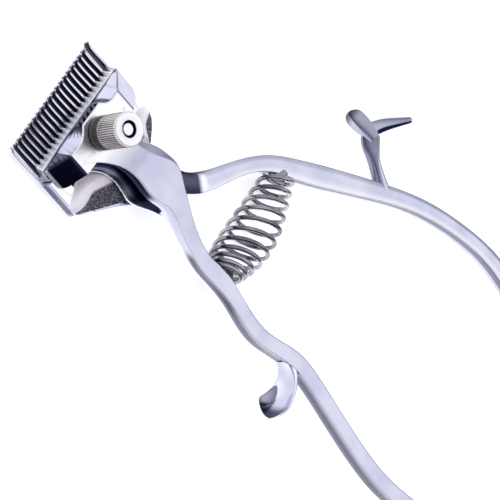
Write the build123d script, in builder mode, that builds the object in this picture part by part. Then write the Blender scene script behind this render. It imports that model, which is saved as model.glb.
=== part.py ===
from build123d import *
from math import atan2, cos, degrees, hypot, sin
import os

# Hand-squeezed hair clipper, in millimetres.
# Origin: where the pivot stud's axis meets the underside of the comb.
# +Z runs up the stud to the tension nut, the teeth point to -Y and the handles run to +Y.
# The clipper is drawn open: the moving lever's handle lies on the -X side.

os.makedirs("parts", exist_ok=True)

# ---- driving dimensions ----
running_clearance = 0.05  # radial, a shaft turning in its hole
slide_clearance = 0.25  # beside a sliding blade
seat_gap = 0.1  # under a foot that presses on the moving blade

tooth_pitch = 2.05
comb_tooth_count = 21
comb_tooth_width = 0.85
comb_width = 43.0
comb_thickness = 2.2
comb_tip_y = -17.0
comb_gap_root_y = -3.6
comb_rear_y = 11.8
comb_corner_radius = 3.0

blade_thickness = 2.2
blade_front_y = -4.6
blade_tooth_length = 2.8
blade_strip_rear_y = -1.5
blade_tongue_half_width = 14.0
blade_tongue_rear_y = 11.2
blade_groove_depth = 0.4

base_half_width = 20.6
base_front_y = -1.2
base_thickness = 2.4
base_tail_y = 26.1
base_tail_half_width = 4.2

pin_radius_from_pivot = 8.0
drive_pin_radius = 1.5
roller_radius = 2.2

stud_radius = 2.5
stud_collar_radius = 3.5
stud_thread_radius = 2.05
stud_head_radius = 4.0
stud_head_height = 1.2
stud_head_recess = 0.2
stud_slot_depth = 0.6

lever_hub_radius = 5.2
lever_gap = 0.4  # between the moving blade and the lever above it
lever_thickness = 3.4
lever_bar_drop = 1.8  # how far the lever's grip reaches below its flat root
bush_wall = 0.9

roof_gap = 0.3
roof_thickness = 1.6
roof_half_width = 12.0
roof_front_y = -5.2
cheek_foot_half_width = 16.5
cheek_rear_y = 4.2
cheek_wall = 1.3
handle_top_z = 13.0
handle_depth = 6.5

nut_radius = 5.05
nut_length = 12.3
nut_tighten_turns = 0.4
thread_pitch = 0.7
nut_spring_wire = 0.7
nut_spring_coils = 4.0

spring_wire_radius = 0.6
spring_end_radius = 4.6
spring_middle_radius = 7.6
spring_coils = 10.0
spring_peg_radius = 3.4
spring_peg_length = 3.2

comb_screw_y = 6.4
dowel_y = 1.4
screw_radius = 1.2
screw_head_radius = 2.1
screw_head_height = 1.1
dowel_radius = 0.8
blind_hole_depth = 1.8
stop_pin_radius = 1.1
frame_screw_places = [(4.7, 20.4), (4.3, 14.9)]
frame_screw_radius = 1.0
frame_screw_head_height = 1.6
frame_screw_engagement = 2.6
shoulder_height = 1.5
near_ledge_height = 1.3
cheek_foot_gap = 0.3  # between the bridge's cheeks and the base
foot_middle_x = 12.4
foot_width = 8.6
foot_rear_y = -2.3
foot_front_y = -3.4
spring_seat_radius = 5.5
spigot_radius = 1.4
spigot_length = 2.0
lever_relief_x = -0.7

# Each grip is a bar along these stations: x, y and width, all measured in plan.
fixed_grip = [
    (-1.4, 33.0, 6.2),
    (1.0, 38.5, 5.4),
    (3.0, 44.0, 5.1),
    (4.0, 50.0, 5.2),
    (3.7, 58.0, 5.4),
    (4.2, 64.0, 5.2),
    (5.6, 71.0, 5.0),
    (5.9, 78.0, 5.0),
    (4.2, 85.0, 5.1),
    (2.6, 91.5, 5.2),
    (2.7, 99.0, 5.2),
    (4.3, 110.0, 5.0),
    (6.6, 124.0, 4.9),
    (7.6, 139.0, 5.0),
    (5.6, 154.0, 5.4),
]
lever_root = [
    (0.0, 0.0, 9.0),
    (-5.0, 13.0, 7.4),
    (-11.6, 29.2, 5.6),
]
lever_grip = [
    (-11.6, 29.2, 5.6),
    (-15.8, 34.3, 4.4),
    (-23.6, 39.6, 4.0),
    (-31.6, 45.0, 4.4),
    (-38.4, 51.6, 5.2),
    (-43.6, 59.6, 6.4),
    (-50.2, 70.0, 6.6),
    (-57.0, 80.8, 6.0),
    (-63.6, 91.6, 5.4),
    (-69.4, 103.4, 5.1),
    (-73.6, 117.0, 4.9),
    (-75.6, 131.0, 5.0),
    (-74.6, 145.0, 5.4),
]

# Plan edges of the broad lobe that joins the bridge to the fixed grip.
near_lobe_edge = [(11.9, 0.6), (9.3, 2.4), (5.9, 5.6), (3.8, 9.2), (2.6, 13.0), (2.8, 20.0)]
far_lobe_edge = [(-11.9, 0.6), (-8.8, 3.8), (-7.4, 8.0), (-9.0, 13.0), (-11.0, 20.0), (-9.4, 26.4)]
near_wall_edge = [(12.4, 3.4), (8.7, 6.2), (6.2, 9.6), (5.4, 14.0), (6.6, 20.4), (4.6, 25.4)]
near_ledge_edge = [(11.6, 2.6), (7.6, 5.4), (5.2, 9.4), (4.4, 14.0), (5.4, 20.4), (4.0, 25.4)]
near_wall_back = [(2.9, 25.4), (3.1, 13.0), (5.2, 9.4), (5.4, 4.6), (9.0, 2.4)]

# Finger rests: centre, the direction across the leaf, its width and its thickness.
fixed_rest_sections = [
    ((2.4, 93.8, 8.4), (0, 0, 1), 5.6, 3.2),
    ((5.6, 97.2, 7.2), (0, 0.1, 1), 6.6, 2.6),
    ((9.6, 98.9, 6.4), (0, 0.2, 1), 10.0, 2.0),
    ((13.6, 99.2, 6.2), (0, 0.25, 1), 12.0, 1.8),
    ((16.8, 98.8, 6.2), (0, 0.25, 1), 6.0, 1.4),
]
lever_rest_sections = [
    ((-64.2, 90.6, 5.6), (0, 0, 1), 4.8, 3.2),
    ((-67.8, 86.4, 5.9), (-0.1, 0.2, 1), 5.6, 2.6),
    ((-72.4, 80.8, 6.3), (-0.3, 0.5, 0.9), 9.6, 2.0),
    ((-76.4, 76.2, 6.7), (-0.4, 0.6, 0.69), 18.0, 1.8),
    ((-78.6, 73.8, 6.9), (-0.4, 0.6, 0.69), 11.0, 1.4),
]

# The return spring's two flat seats: their centres in plan, and how far below each grip's top they are.
fixed_seat_place = (0.7, 57.8)
fixed_seat_drop = 3.3
lever_seat_place = (-39.6, 56.4)
lever_seat_drop = 2.7

# ---- sizes worked out from those above ----
blade_bottom_z = comb_thickness
blade_top_z = blade_bottom_z + blade_thickness
base_top_z = comb_thickness + base_thickness
cheek_foot_z = base_top_z + cheek_foot_gap
lever_bottom_z = blade_top_z + lever_gap
lever_top_z = lever_bottom_z + lever_thickness
lever_bar_bottom_z = lever_bottom_z - lever_bar_drop
ceiling_z = lever_top_z + roof_gap
roof_top_z = ceiling_z + roof_thickness
handle_bottom_z = handle_top_z - handle_depth
fixed_spring_seat = (*fixed_seat_place, handle_top_z - fixed_seat_drop)
lever_spring_seat = (*lever_seat_place, lever_top_z - lever_seat_drop)
nut_bottom_z = roof_top_z + nut_tighten_turns * thread_pitch
nut_top_z = nut_bottom_z + nut_length
stroke = tooth_pitch
blade_rest_x = -stroke / 2
lever_swing = stroke / pin_radius_from_pivot  # radians
bush_outer_radius = stud_radius + running_clearance + bush_wall
shoulder_top_z = base_top_z + shoulder_height
foot_bottom_z = blade_top_z - blade_groove_depth + seat_gap
stud_top_z = nut_top_z - 0.5
blade_tooth_count = comb_tooth_count - 1
blade_length = blade_tooth_count * tooth_pitch
rest_pin_angle = lever_swing / 2
drive_pin_x = -pin_radius_from_pivot * sin(rest_pin_angle)
drive_pin_y = pin_radius_from_pivot * cos(rest_pin_angle)


spring_run = Vector(*fixed_spring_seat) - Vector(*lever_spring_seat)
spring_direction = spring_run.normalized()

# the stop pin stands against the lever root's far edge
root_end_x, root_end_y, root_end_width = lever_root[2]
root_start_x, root_start_y, root_start_width = lever_root[1]
root_length = hypot(root_end_x - root_start_x, root_end_y - root_start_y)
along_x = (root_end_x - root_start_x) / root_length
along_y = (root_end_y - root_start_y) / root_length
stop_share = 0.15
stop_offset = (
    root_start_width / 2 * (1 - stop_share)
    + root_end_width / 2 * stop_share
    + stop_pin_radius
    + seat_gap
)
stop_pin_place = (
    root_start_x + along_x * root_length * stop_share - along_y * stop_offset,
    root_start_y + along_y * root_length * stop_share + along_x * stop_offset,
)
comb_screw_x = (blade_tongue_half_width + stroke / 2 + slide_clearance + base_half_width) / 2
bottom = (Align.CENTER, Align.CENTER, Align.MIN)


def side_points(stations, side):
    """The bar's edge: each station moved half its width along the normal of its neighbours' chord."""
    points = []
    for index, (x, y, width) in enumerate(stations):
        before = stations[max(index - 1, 0)]
        after = stations[min(index + 1, len(stations) - 1)]
        run_x = after[0] - before[0]
        run_y = after[1] - before[1]
        scale = side * width / 2 / hypot(run_x, run_y)
        points.append((x + run_y * scale, y - run_x * scale))
    return points


def end_cap_point(stations):
    """The middle of the rounded end, half a width past the last station."""
    x, y, width = stations[-1]
    run_x = x - stations[-2][0]
    run_y = y - stations[-2][1]
    reach = width / 2 / hypot(run_x, run_y)
    return (x + run_x * reach, y + run_y * reach)


def section_planes(sections):
    """Planes through the sections' centres, square to the line of the centres, x along the leaf's width."""
    planes = []
    for index, (centre, across, width, thickness) in enumerate(sections):
        before = sections[max(index - 1, 0)][0]
        after = sections[min(index + 1, len(sections) - 1)][0]
        run = Vector(*after) - Vector(*before)
        flat_across = Vector(*across) - run * (Vector(*across).dot(run) / run.dot(run))
        planes.append(Plane(origin=centre, x_dir=flat_across, z_dir=run))
    return planes


# ---- comb blade: fixed plate with the long teeth ----
with BuildPart() as comb_blade:
    # side view: rounded hooked tip, dished tooth top, flat plate behind
    with BuildSketch(Plane.YZ.offset(-comb_width / 2)):
        with BuildLine():
            Polyline(
                (comb_tip_y + 3.0, 0.0),
                (comb_rear_y, 0.0),
                (comb_rear_y, comb_thickness),
                (comb_tip_y + 9.4, comb_thickness),
            )
            Spline(
                (comb_tip_y + 9.4, comb_thickness),
                (comb_tip_y + 4.4, 1.35),
                (comb_tip_y + 1.6, 1.9),
                (comb_tip_y + 0.7, 2.9),
            )
            ThreePointArc(
                (comb_tip_y + 0.7, 2.9),
                (comb_tip_y + 0.1, 2.8),
                (comb_tip_y, 2.2),
            )
            Spline((comb_tip_y, 2.2), (comb_tip_y + 0.9, 0.7), (comb_tip_y + 3.0, 0.0))
        make_face()
    extrude(amount=comb_width)
    # gaps between the teeth
    gap_width = tooth_pitch - comb_tooth_width
    gap_length = comb_gap_root_y - comb_tip_y + 2
    with BuildSketch(Plane.XY.offset(-1)):
        with Locations((0, comb_gap_root_y - gap_length / 2)):
            with GridLocations(tooth_pitch, 0, comb_tooth_count - 1, 1):
                Rectangle(gap_width, gap_length)
    extrude(amount=comb_thickness + 4, mode=Mode.SUBTRACT)
    # rounded rear corners
    fillet(
        comb_blade.edges().filter_by(Axis.Z).group_by(Axis.Y)[-1],
        radius=comb_corner_radius,
    )
    # stud hole with a recess for the stud's head
    with Locations((0, 0, 0)):
        Hole(stud_radius + running_clearance)
    with BuildSketch(Plane.XY):
        Circle(stud_head_radius + running_clearance)
    extrude(amount=stud_head_height + stud_head_recess, mode=Mode.SUBTRACT)
    # two screw holes, countersunk from below, and two dowel holes
    for side in (-1, 1):
        with BuildSketch(Plane.XY):
            with Locations((side * comb_screw_x, comb_screw_y)):
                Circle(screw_radius)
            with Locations((side * comb_screw_x, dowel_y)):
                Circle(dowel_radius)
        extrude(amount=comb_thickness, mode=Mode.SUBTRACT)
        with BuildSketch(Plane.XY):
            with Locations((side * comb_screw_x, comb_screw_y)):
                Circle(screw_head_radius)
        extrude(amount=screw_head_height + 0.1, mode=Mode.SUBTRACT)
comb_blade.part.label = "comb_blade"

# ---- cutter blade: the moving blade, drawn at its rest place ----
with BuildPart() as cutter_blade:
    with BuildSketch(Plane.YZ.offset(blade_rest_x - blade_length / 2)):
        with BuildLine():
            Polyline(
                (blade_front_y - blade_tooth_length, blade_bottom_z),
                (blade_strip_rear_y, blade_bottom_z),
                (blade_strip_rear_y, blade_top_z),
                (blade_front_y, blade_top_z),
                (blade_front_y - blade_tooth_length, blade_bottom_z + 0.5),
                close=True,
            )
        make_face()
    extrude(amount=blade_length)
    # V gaps leave one pointed tooth on each pitch
    with BuildSketch(Plane.XY.offset(blade_bottom_z - 1)):
        for index in range(blade_tooth_count + 1):
            middle = blade_rest_x + (index - blade_tooth_count / 2) * tooth_pitch
            half_mouth = tooth_pitch / 2 - 0.22
            with BuildLine():
                Polyline(
                    (middle - half_mouth, blade_front_y - blade_tooth_length - 0.1),
                    (middle + half_mouth, blade_front_y - blade_tooth_length - 0.1),
                    (middle + 0.25, blade_front_y - 0.2),
                    (middle - 0.25, blade_front_y - 0.2),
                    close=True,
                )
            make_face()
    extrude(amount=blade_thickness + 2, mode=Mode.SUBTRACT)
    # tongue that runs back between the base's cheeks
    tongue_length = blade_tongue_rear_y - blade_strip_rear_y
    with BuildSketch(Plane.XY.offset(blade_bottom_z)):
        with Locations((blade_rest_x, blade_strip_rear_y + tongue_length / 2)):
            Rectangle(2 * blade_tongue_half_width, tongue_length)
    extrude(amount=blade_thickness)
    # slot past the stud's collar, and the slot that the drive roller works in
    with BuildSketch(Plane.XY.offset(blade_bottom_z)):
        with Locations((blade_rest_x, 0)):
            Rectangle(
                2 * stud_collar_radius + stroke + 2 * slide_clearance,
                2 * (stud_collar_radius + slide_clearance),
            )
        with Locations((drive_pin_x, pin_radius_from_pivot)):
            Rectangle(2 * (roller_radius + running_clearance), 2 * (roller_radius + slide_clearance))
    extrude(amount=blade_thickness, mode=Mode.SUBTRACT)
    # long groove that the frame's feet press in
    with BuildSketch(Plane.XY.offset(blade_top_z - blade_groove_depth)):
        with Locations((blade_rest_x, (foot_rear_y + foot_front_y) / 2)):
            Rectangle(blade_length + 1, foot_rear_y - foot_front_y + 0.4)
    extrude(amount=blade_groove_depth + 1, mode=Mode.SUBTRACT)
cutter_blade.part.label = "cutter_blade"

# ---- base casting: cheeks beside the moving blade, raised shoulders and a tail behind ----
recess_half_width = blade_tongue_half_width + stroke / 2 + slide_clearance
shoulder_front_y = 7.2
shoulder_rear_y = base_tail_y - 1.2
shoulder_half_width = base_half_width - 1.4
near_shoulder_x = 2.9
far_shoulder_x = -12.6
tail_drop = comb_thickness - 0.5
with BuildPart() as base_casting:
    with BuildSketch(Plane.XY.offset(comb_thickness)):
        with BuildLine():
            Polyline(
                (-base_half_width, base_front_y),
                (-base_half_width, comb_rear_y),
                (-base_tail_half_width, base_tail_y),
                (base_tail_half_width, base_tail_y),
                (base_half_width, comb_rear_y),
                (base_half_width, base_front_y),
                close=True,
            )
        make_face()
    extrude(amount=base_thickness)
    fillet(
        base_casting.edges().filter_by(Axis.Z).group_by(Axis.Y)[1],
        radius=comb_corner_radius,
    )
    # the tail reaches down behind the comb
    with BuildSketch(Plane.XY.offset(comb_thickness - tail_drop)):
        with BuildLine():
            Polyline(
                (-shoulder_half_width + 1.4, comb_rear_y + running_clearance),
                (-base_tail_half_width, shoulder_rear_y),
                (base_tail_half_width, shoulder_rear_y),
                (shoulder_half_width - 1.4, comb_rear_y + running_clearance),
                close=True,
            )
        make_face()
    extrude(amount=tail_drop)
    # recess for the moving blade's tongue
    with BuildSketch(Plane.XY.offset(comb_thickness)):
        with Locations((0, (base_front_y + blade_tongue_rear_y) / 2)):
            Rectangle(
                2 * recess_half_width,
                blade_tongue_rear_y - base_front_y + 2 * slide_clearance,
            )
    extrude(amount=base_thickness, mode=Mode.SUBTRACT)
    # raised shoulders on each side of the lever's swing; the near one carries the frame
    with BuildSketch(Plane.XY.offset(base_top_z)):
        with BuildLine():
            Polyline(
                (near_shoulder_x + 4.0, shoulder_front_y),
                (shoulder_half_width, shoulder_front_y),
                (shoulder_half_width, comb_rear_y),
                (base_tail_half_width, shoulder_rear_y),
                (near_shoulder_x, shoulder_rear_y),
                (near_shoulder_x, comb_rear_y),
                close=True,
            )
        make_face()
        with BuildLine():
            Polyline(
                (far_shoulder_x, shoulder_front_y),
                (-shoulder_half_width, shoulder_front_y),
                (-shoulder_half_width, comb_rear_y),
                (far_shoulder_x, comb_rear_y + 5.4),
                close=True,
            )
        make_face()
    extrude(amount=shoulder_height)
    # clearance holes for the frame's screws, with recesses for their heads below
    for x, y in frame_screw_places:
        with BuildSketch(Plane.XY.offset(comb_thickness - tail_drop)):
            with Locations((x, y)):
                Circle(frame_screw_radius)
        extrude(amount=shoulder_top_z, mode=Mode.SUBTRACT)
        with BuildSketch(Plane.XY.offset(comb_thickness - tail_drop)):
            with Locations((x, y)):
                Circle(2 * frame_screw_radius)
        extrude(amount=frame_screw_head_height, mode=Mode.SUBTRACT)
    # blind screw and dowel holes over the comb's, and the stop pin's hole
    with BuildSketch(Plane.XY.offset(comb_thickness)):
        for side in (-1, 1):
            with Locations((side * comb_screw_x, comb_screw_y)):
                Circle(screw_radius)
            with Locations((side * comb_screw_x, dowel_y)):
                Circle(dowel_radius)
    extrude(amount=blind_hole_depth, mode=Mode.SUBTRACT)
    with BuildSketch(Plane.XY.offset(comb_thickness)):
        with Locations(stop_pin_place):
            Circle(stop_pin_radius)
    extrude(amount=base_thickness, mode=Mode.SUBTRACT)
base_casting.part.label = "base_casting"

# ---- top frame: bridge over the blades, drawn out into the fixed grip and its finger rest ----
with BuildPart() as fixed_finger_rest:
    for plane, (_, _, width, thickness) in zip(section_planes(fixed_rest_sections), fixed_rest_sections):
        with BuildSketch(plane):
            Ellipse(width / 2, thickness / 2)
    loft()

with BuildPart() as top_frame:
    # bridge: flat roof with two slanted cheeks
    with BuildSketch(Plane.XZ.offset(-roof_front_y)):
        with BuildLine():
            Polyline(
                (-cheek_foot_half_width, cheek_foot_z),
                (-roof_half_width, roof_top_z),
                (roof_half_width, roof_top_z),
                (cheek_foot_half_width, cheek_foot_z),
                (cheek_foot_half_width - cheek_wall, cheek_foot_z),
                (roof_half_width - cheek_wall, ceiling_z),
                (-roof_half_width + cheek_wall, ceiling_z),
                (-cheek_foot_half_width + cheek_wall, cheek_foot_z),
                close=True,
            )
        make_face()
    extrude(amount=-(cheek_rear_y - roof_front_y))
    # two feet slope down from the roof's front edge into the blade's groove
    for side in (-1, 1):
        with BuildSketch(Plane.YZ.offset(side * foot_middle_x - foot_width / 2)):
            with BuildLine():
                Polyline(
                    (foot_rear_y, foot_bottom_z),
                    (foot_front_y, foot_bottom_z),
                    (roof_front_y - 0.3, ceiling_z),
                    (roof_front_y, roof_top_z - 0.4),
                    (foot_rear_y, roof_top_z - 0.4),
                    close=True,
                )
            make_face()
        extrude(amount=foot_width)
    # broad lobe between the bridge and the grip
    near_points = side_points(fixed_grip, 1)
    far_points = side_points(fixed_grip, -1)
    with BuildSketch(Plane.XY.offset(ceiling_z)):
        with BuildLine():
            Spline(*near_lobe_edge, near_points[0])
            Line(near_points[0], far_points[0])
            Spline(far_points[0], *reversed(far_lobe_edge))
            Line(far_lobe_edge[0], near_lobe_edge[0])
        make_face()
    extrude(amount=handle_top_z - ceiling_z)
    # the lobe's top climbs from the flat roof to the grip's top
    with BuildSketch(Plane.YZ.offset(-cheek_foot_half_width)):
        with BuildLine():
            Polyline(
                (-1.0, handle_top_z + 1),
                (-1.0, roof_top_z),
                (nut_radius + 0.9, roof_top_z),
            )
            Spline(
                (nut_radius + 0.9, roof_top_z),
                (nut_radius + 5.0, roof_top_z + 1.0),
                (nut_radius + 12.0, handle_top_z),
                tangents=[(1, 0), (1, 0)],
            )
            Polyline(
                (nut_radius + 12.0, handle_top_z),
                (nut_radius + 12.0, handle_top_z + 1),
                (-1.0, handle_top_z + 1),
            )
        make_face()
    extrude(amount=2 * cheek_foot_half_width, mode=Mode.SUBTRACT)
    # wall that stands on the near shoulder, and the ledge that ties it to the lobe
    with BuildSketch(Plane.XY.offset(shoulder_top_z)):
        with BuildLine():
            Spline(*near_wall_edge)
            Polyline(near_wall_edge[-1], *near_wall_back, near_wall_edge[0])
        make_face()
    extrude(amount=ceiling_z - shoulder_top_z)
    with BuildSketch(Plane.XY.offset(ceiling_z)):
        with BuildLine():
            Spline(*near_ledge_edge)
            Polyline(near_ledge_edge[-1], (0, near_ledge_edge[-1][1]), (0, 3.0), near_ledge_edge[0])
        make_face()
    extrude(amount=near_ledge_height)
    # the grip itself
    with BuildSketch(Plane.XY.offset(handle_bottom_z)):
        with BuildLine():
            Spline(*near_points)
            ThreePointArc(near_points[-1], end_cap_point(fixed_grip), far_points[-1])
            Spline(*reversed(far_points))
            Line(far_points[0], near_points[0])
        make_face()
    extrude(amount=handle_top_z - handle_bottom_z)
    # relief that lets the lever close beneath the grip's root
    with BuildSketch(Plane.XY.offset(shoulder_top_z)):
        with BuildLine():
            Polyline(
                (-roof_half_width, 28.0),
                (lever_relief_x, 28.0),
                (lever_relief_x, 37.0),
                (-1.4, 44.0),
                (-roof_half_width, 44.0),
                close=True,
            )
        make_face()
    extrude(amount=lever_top_z + roof_gap + 0.3 - shoulder_top_z, mode=Mode.SUBTRACT)
    add(fixed_finger_rest.part)
    # stud hole through the roof
    with BuildSketch(Plane.XY.offset(ceiling_z)):
        Circle(stud_thread_radius + 2 * running_clearance)
    extrude(amount=roof_thickness, mode=Mode.SUBTRACT)
    # blind holes for the frame's screws
    with BuildSketch(Plane.XY.offset(shoulder_top_z)):
        for x, y in frame_screw_places:
            with Locations((x, y)):
                Circle(frame_screw_radius)
    extrude(amount=frame_screw_engagement, mode=Mode.SUBTRACT)
    # flat seat and spigot hole for the return spring
    with BuildSketch(Plane(origin=fixed_spring_seat, z_dir=spring_direction)):
        Circle(spring_seat_radius)
    extrude(amount=-4.0, mode=Mode.SUBTRACT)
    with BuildSketch(Plane(origin=fixed_spring_seat, z_dir=spring_direction)):
        Circle(spigot_radius)
    extrude(amount=spigot_length, mode=Mode.SUBTRACT)
top_frame.part.label = "top_frame"

# ---- lever handle: hub on the stud, short nose for the drive pin, long grip ----
with BuildPart() as lever_finger_rest:
    for plane, (_, _, width, thickness) in zip(section_planes(lever_rest_sections), lever_rest_sections):
        with BuildSketch(plane):
            Ellipse(width / 2, thickness / 2)
    loft()

with BuildPart() as lever_handle:
    root_near = side_points(lever_root, 1)
    root_far = side_points(lever_root, -1)
    with BuildSketch(Plane.XY.offset(lever_bottom_z)):
        with BuildLine():
            Polyline(*root_near, *reversed(root_far), close=True)
        make_face()
        Circle(lever_hub_radius)
        with Locations((drive_pin_x, drive_pin_y)):
            Circle(drive_pin_radius + 1.7)
    extrude(amount=lever_thickness)
    near_points = side_points(lever_grip, 1)
    far_points = side_points(lever_grip, -1)
    with BuildSketch(Plane.XY.offset(lever_bar_bottom_z)):
        with BuildLine():
            Spline(*near_points)
            ThreePointArc(near_points[-1], end_cap_point(lever_grip), far_points[-1])
            Spline(*reversed(far_points))
            Line(far_points[0], near_points[0])
        make_face()
    extrude(amount=lever_top_z - lever_bar_bottom_z)
    add(lever_finger_rest.part)
    # bore for the bush, hole for the drive pin
    with BuildSketch(Plane.XY.offset(lever_bottom_z)):
        Circle(bush_outer_radius)
        with Locations((drive_pin_x, drive_pin_y)):
            Circle(drive_pin_radius)
    extrude(amount=lever_thickness, mode=Mode.SUBTRACT)
    # flat seat and spigot hole for the return spring
    with BuildSketch(Plane(origin=lever_spring_seat, z_dir=spring_direction)):
        Circle(spring_seat_radius)
    extrude(amount=4.0, mode=Mode.SUBTRACT)
    with BuildSketch(Plane(origin=lever_spring_seat, z_dir=spring_direction)):
        Circle(spigot_radius)
    extrude(amount=-spigot_length, mode=Mode.SUBTRACT)
lever_handle.part.label = "lever_handle"

with BuildPart() as lever_bush:
    with BuildSketch(Plane.XY.offset(lever_bottom_z)):
        Circle(bush_outer_radius)
        Circle(stud_radius + running_clearance, mode=Mode.SUBTRACT)
    extrude(amount=lever_thickness)
lever_bush.part.label = "lever_bush"

with BuildPart() as drive_pin:
    with BuildSketch(Plane.XY.offset(blade_bottom_z + 0.4)):
        with Locations((drive_pin_x, drive_pin_y)):
            Circle(drive_pin_radius)
    extrude(amount=lever_top_z - blade_bottom_z - 0.4)
drive_pin.part.label = "drive_pin"

with BuildPart() as drive_roller:
    with BuildSketch(Plane.XY.offset(blade_bottom_z + 0.2)):
        with Locations((drive_pin_x, drive_pin_y)):
            Circle(roller_radius)
            Circle(drive_pin_radius, mode=Mode.SUBTRACT)
    extrude(amount=blade_thickness)
drive_roller.part.label = "drive_roller"

# ---- pivot stud: sunk slotted head, collar through the blade, journal, thread above ----
with BuildPart() as pivot_stud:
    with Locations((0, 0, stud_head_recess)):
        Cylinder(stud_head_radius, stud_head_height, align=bottom)
    with Locations((0, 0, stud_head_height)):
        Cylinder(stud_radius, lever_top_z + 0.1 - stud_head_height, align=bottom)
    with Locations((0, 0, comb_thickness)):
        Cylinder(stud_collar_radius, lever_bottom_z - running_clearance - comb_thickness, align=bottom)
    with Locations((0, 0, lever_top_z)):
        Cylinder(stud_thread_radius, stud_top_z - lever_top_z, align=bottom)
    chamfer(pivot_stud.edges().group_by(Axis.Z)[-1], length=0.3)
    with Locations((0, 0, stud_head_recess)):
        Box(2 * stud_head_radius + 1, 1.0, 2 * stud_slot_depth, mode=Mode.SUBTRACT)
pivot_stud.part.label = "pivot_stud"

# ---- tension nut with its spring and washers ----
nut_pocket_radius = nut_radius - 1.2
nut_pocket_depth = 6.5
washer_radius = nut_pocket_radius - 0.25
washer_thickness = 0.6
nut_mouth_radius = 2.55
nut_mouth_depth = 1.4
with BuildPart() as tension_nut:
    with Locations((0, 0, nut_bottom_z)):
        Cylinder(nut_radius, nut_length, align=bottom)
    chamfer(tension_nut.edges().group_by(Axis.Z)[-1], length=0.35)
    chamfer(tension_nut.edges().group_by(Axis.Z)[0], length=0.25)
    with BuildSketch(Plane.XY.offset(nut_bottom_z)):
        Circle(nut_pocket_radius)
    extrude(amount=nut_pocket_depth, mode=Mode.SUBTRACT)
    with BuildSketch(Plane.XY.offset(nut_bottom_z)):
        Circle(stud_thread_radius + running_clearance)
    extrude(amount=nut_length, mode=Mode.SUBTRACT)
    with BuildSketch(Plane.XY.offset(nut_top_z)):
        Circle(nut_mouth_radius)
    extrude(amount=-nut_mouth_depth, mode=Mode.SUBTRACT)
    # straight knurl: shallow grooves all round
    knurl_count = 36
    knurl_depth = 0.18
    with BuildSketch(Plane.XY.offset(nut_bottom_z + 0.8)):
        with PolarLocations(nut_radius + 0.1, knurl_count):
            Circle(knurl_depth + 0.1)
    extrude(amount=nut_length - 1.8, mode=Mode.SUBTRACT)
tension_nut.part.label = "tension_nut"

upper_washer_z = nut_bottom_z + nut_pocket_depth - washer_thickness
with BuildPart() as nut_washer:
    with BuildSketch(Plane.XY.offset(upper_washer_z)):
        Circle(washer_radius)
        Circle(stud_thread_radius + running_clearance, mode=Mode.SUBTRACT)
    extrude(amount=washer_thickness)
nut_washer.part.label = "nut_washer"

with BuildPart() as roof_washer:
    with BuildSketch(Plane.XY.offset(roof_top_z)):
        Circle(washer_radius)
        Circle(stud_thread_radius + running_clearance, mode=Mode.SUBTRACT)
    extrude(amount=washer_thickness)
roof_washer.part.label = "roof_washer"

nut_spring_bottom_z = roof_top_z + washer_thickness
nut_spring_height = upper_washer_z - nut_spring_bottom_z - nut_spring_wire - 2 * running_clearance
nut_spring_radius = washer_radius - nut_spring_wire / 2 - running_clearance
with BuildPart() as tension_spring:
    with BuildLine() as coil_line:
        Helix(
            nut_spring_height / nut_spring_coils,
            nut_spring_height,
            nut_spring_radius,
            center=(0, 0, nut_spring_bottom_z + nut_spring_wire / 2 + running_clearance),
        )
    with BuildSketch(Plane(origin=coil_line.line @ 0, z_dir=coil_line.line % 0)):
        Circle(nut_spring_wire / 2)
    sweep(path=coil_line.line, is_frenet=True)
tension_spring.part.label = "tension_spring"

# ---- return spring: barrel coil between the grips, made of two equal tapered halves ----
spring_length = spring_run.length - 2 * (spring_wire_radius + running_clearance)
spring_start = Vector(*lever_spring_seat) + spring_direction * (spring_wire_radius + running_clearance)
spring_middle = spring_start + spring_direction * (spring_length / 2)
spring_taper = degrees(atan2(spring_middle_radius - spring_end_radius, spring_length / 2))
with BuildPart() as return_spring:
    with BuildLine() as half_line:
        Helix(
            spring_length / spring_coils,
            spring_length / 2,
            spring_end_radius,
            center=spring_start,
            direction=spring_direction,
            cone_angle=spring_taper,
        )
    with BuildSketch(Plane(origin=half_line.line @ 0, z_dir=half_line.line % 0)):
        Circle(spring_wire_radius)
    sweep(path=half_line.line, is_frenet=True)
    # a half turn about the line from the middle of the axis to the wire's end gives the other half
    half_end = half_line.line @ 1
    add(return_spring.part.rotate(Axis(spring_middle, half_end - spring_middle), 180))
return_spring.part.label = "return_spring"

# ---- spring pegs: riveted spigot in the grip, wide head inside the end coil ----
for peg_name, seat, inward in (
    ("spring_peg_fixed", fixed_spring_seat, spring_direction * -1),
    ("spring_peg_lever", lever_spring_seat, spring_direction),
):
    with BuildPart() as spring_peg:
        with BuildSketch(Plane(origin=seat, z_dir=inward)):
            Circle(spring_peg_radius)
        extrude(amount=spring_peg_length)
        chamfer(spring_peg.edges().filter_by(GeomType.CIRCLE).sort_by_distance(Vector(*seat))[-1], length=0.5)
        with BuildSketch(Plane(origin=seat, z_dir=inward)):
            Circle(spigot_radius)
        extrude(amount=-spigot_length)
    spring_peg.part.label = peg_name
    export_step(spring_peg.part, "parts/" + peg_name + ".step")

# ---- fasteners and pins ----
with BuildPart() as comb_screws:
    for side in (-1, 1):
        with BuildSketch(Plane.XY.offset(0.1)):
            with Locations((side * comb_screw_x, comb_screw_y)):
                Circle(screw_head_radius)
        extrude(amount=screw_head_height)
        with BuildSketch(Plane.XY.offset(0.1)):
            with Locations((side * comb_screw_x, comb_screw_y)):
                Circle(screw_radius)
        extrude(amount=comb_thickness + blind_hole_depth - 0.1)
        with Locations((side * comb_screw_x, comb_screw_y, 0.1)):
            Box(2 * screw_head_radius + 1, 0.6, 0.8, mode=Mode.SUBTRACT)
comb_screws.part.label = "comb_screws"

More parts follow.
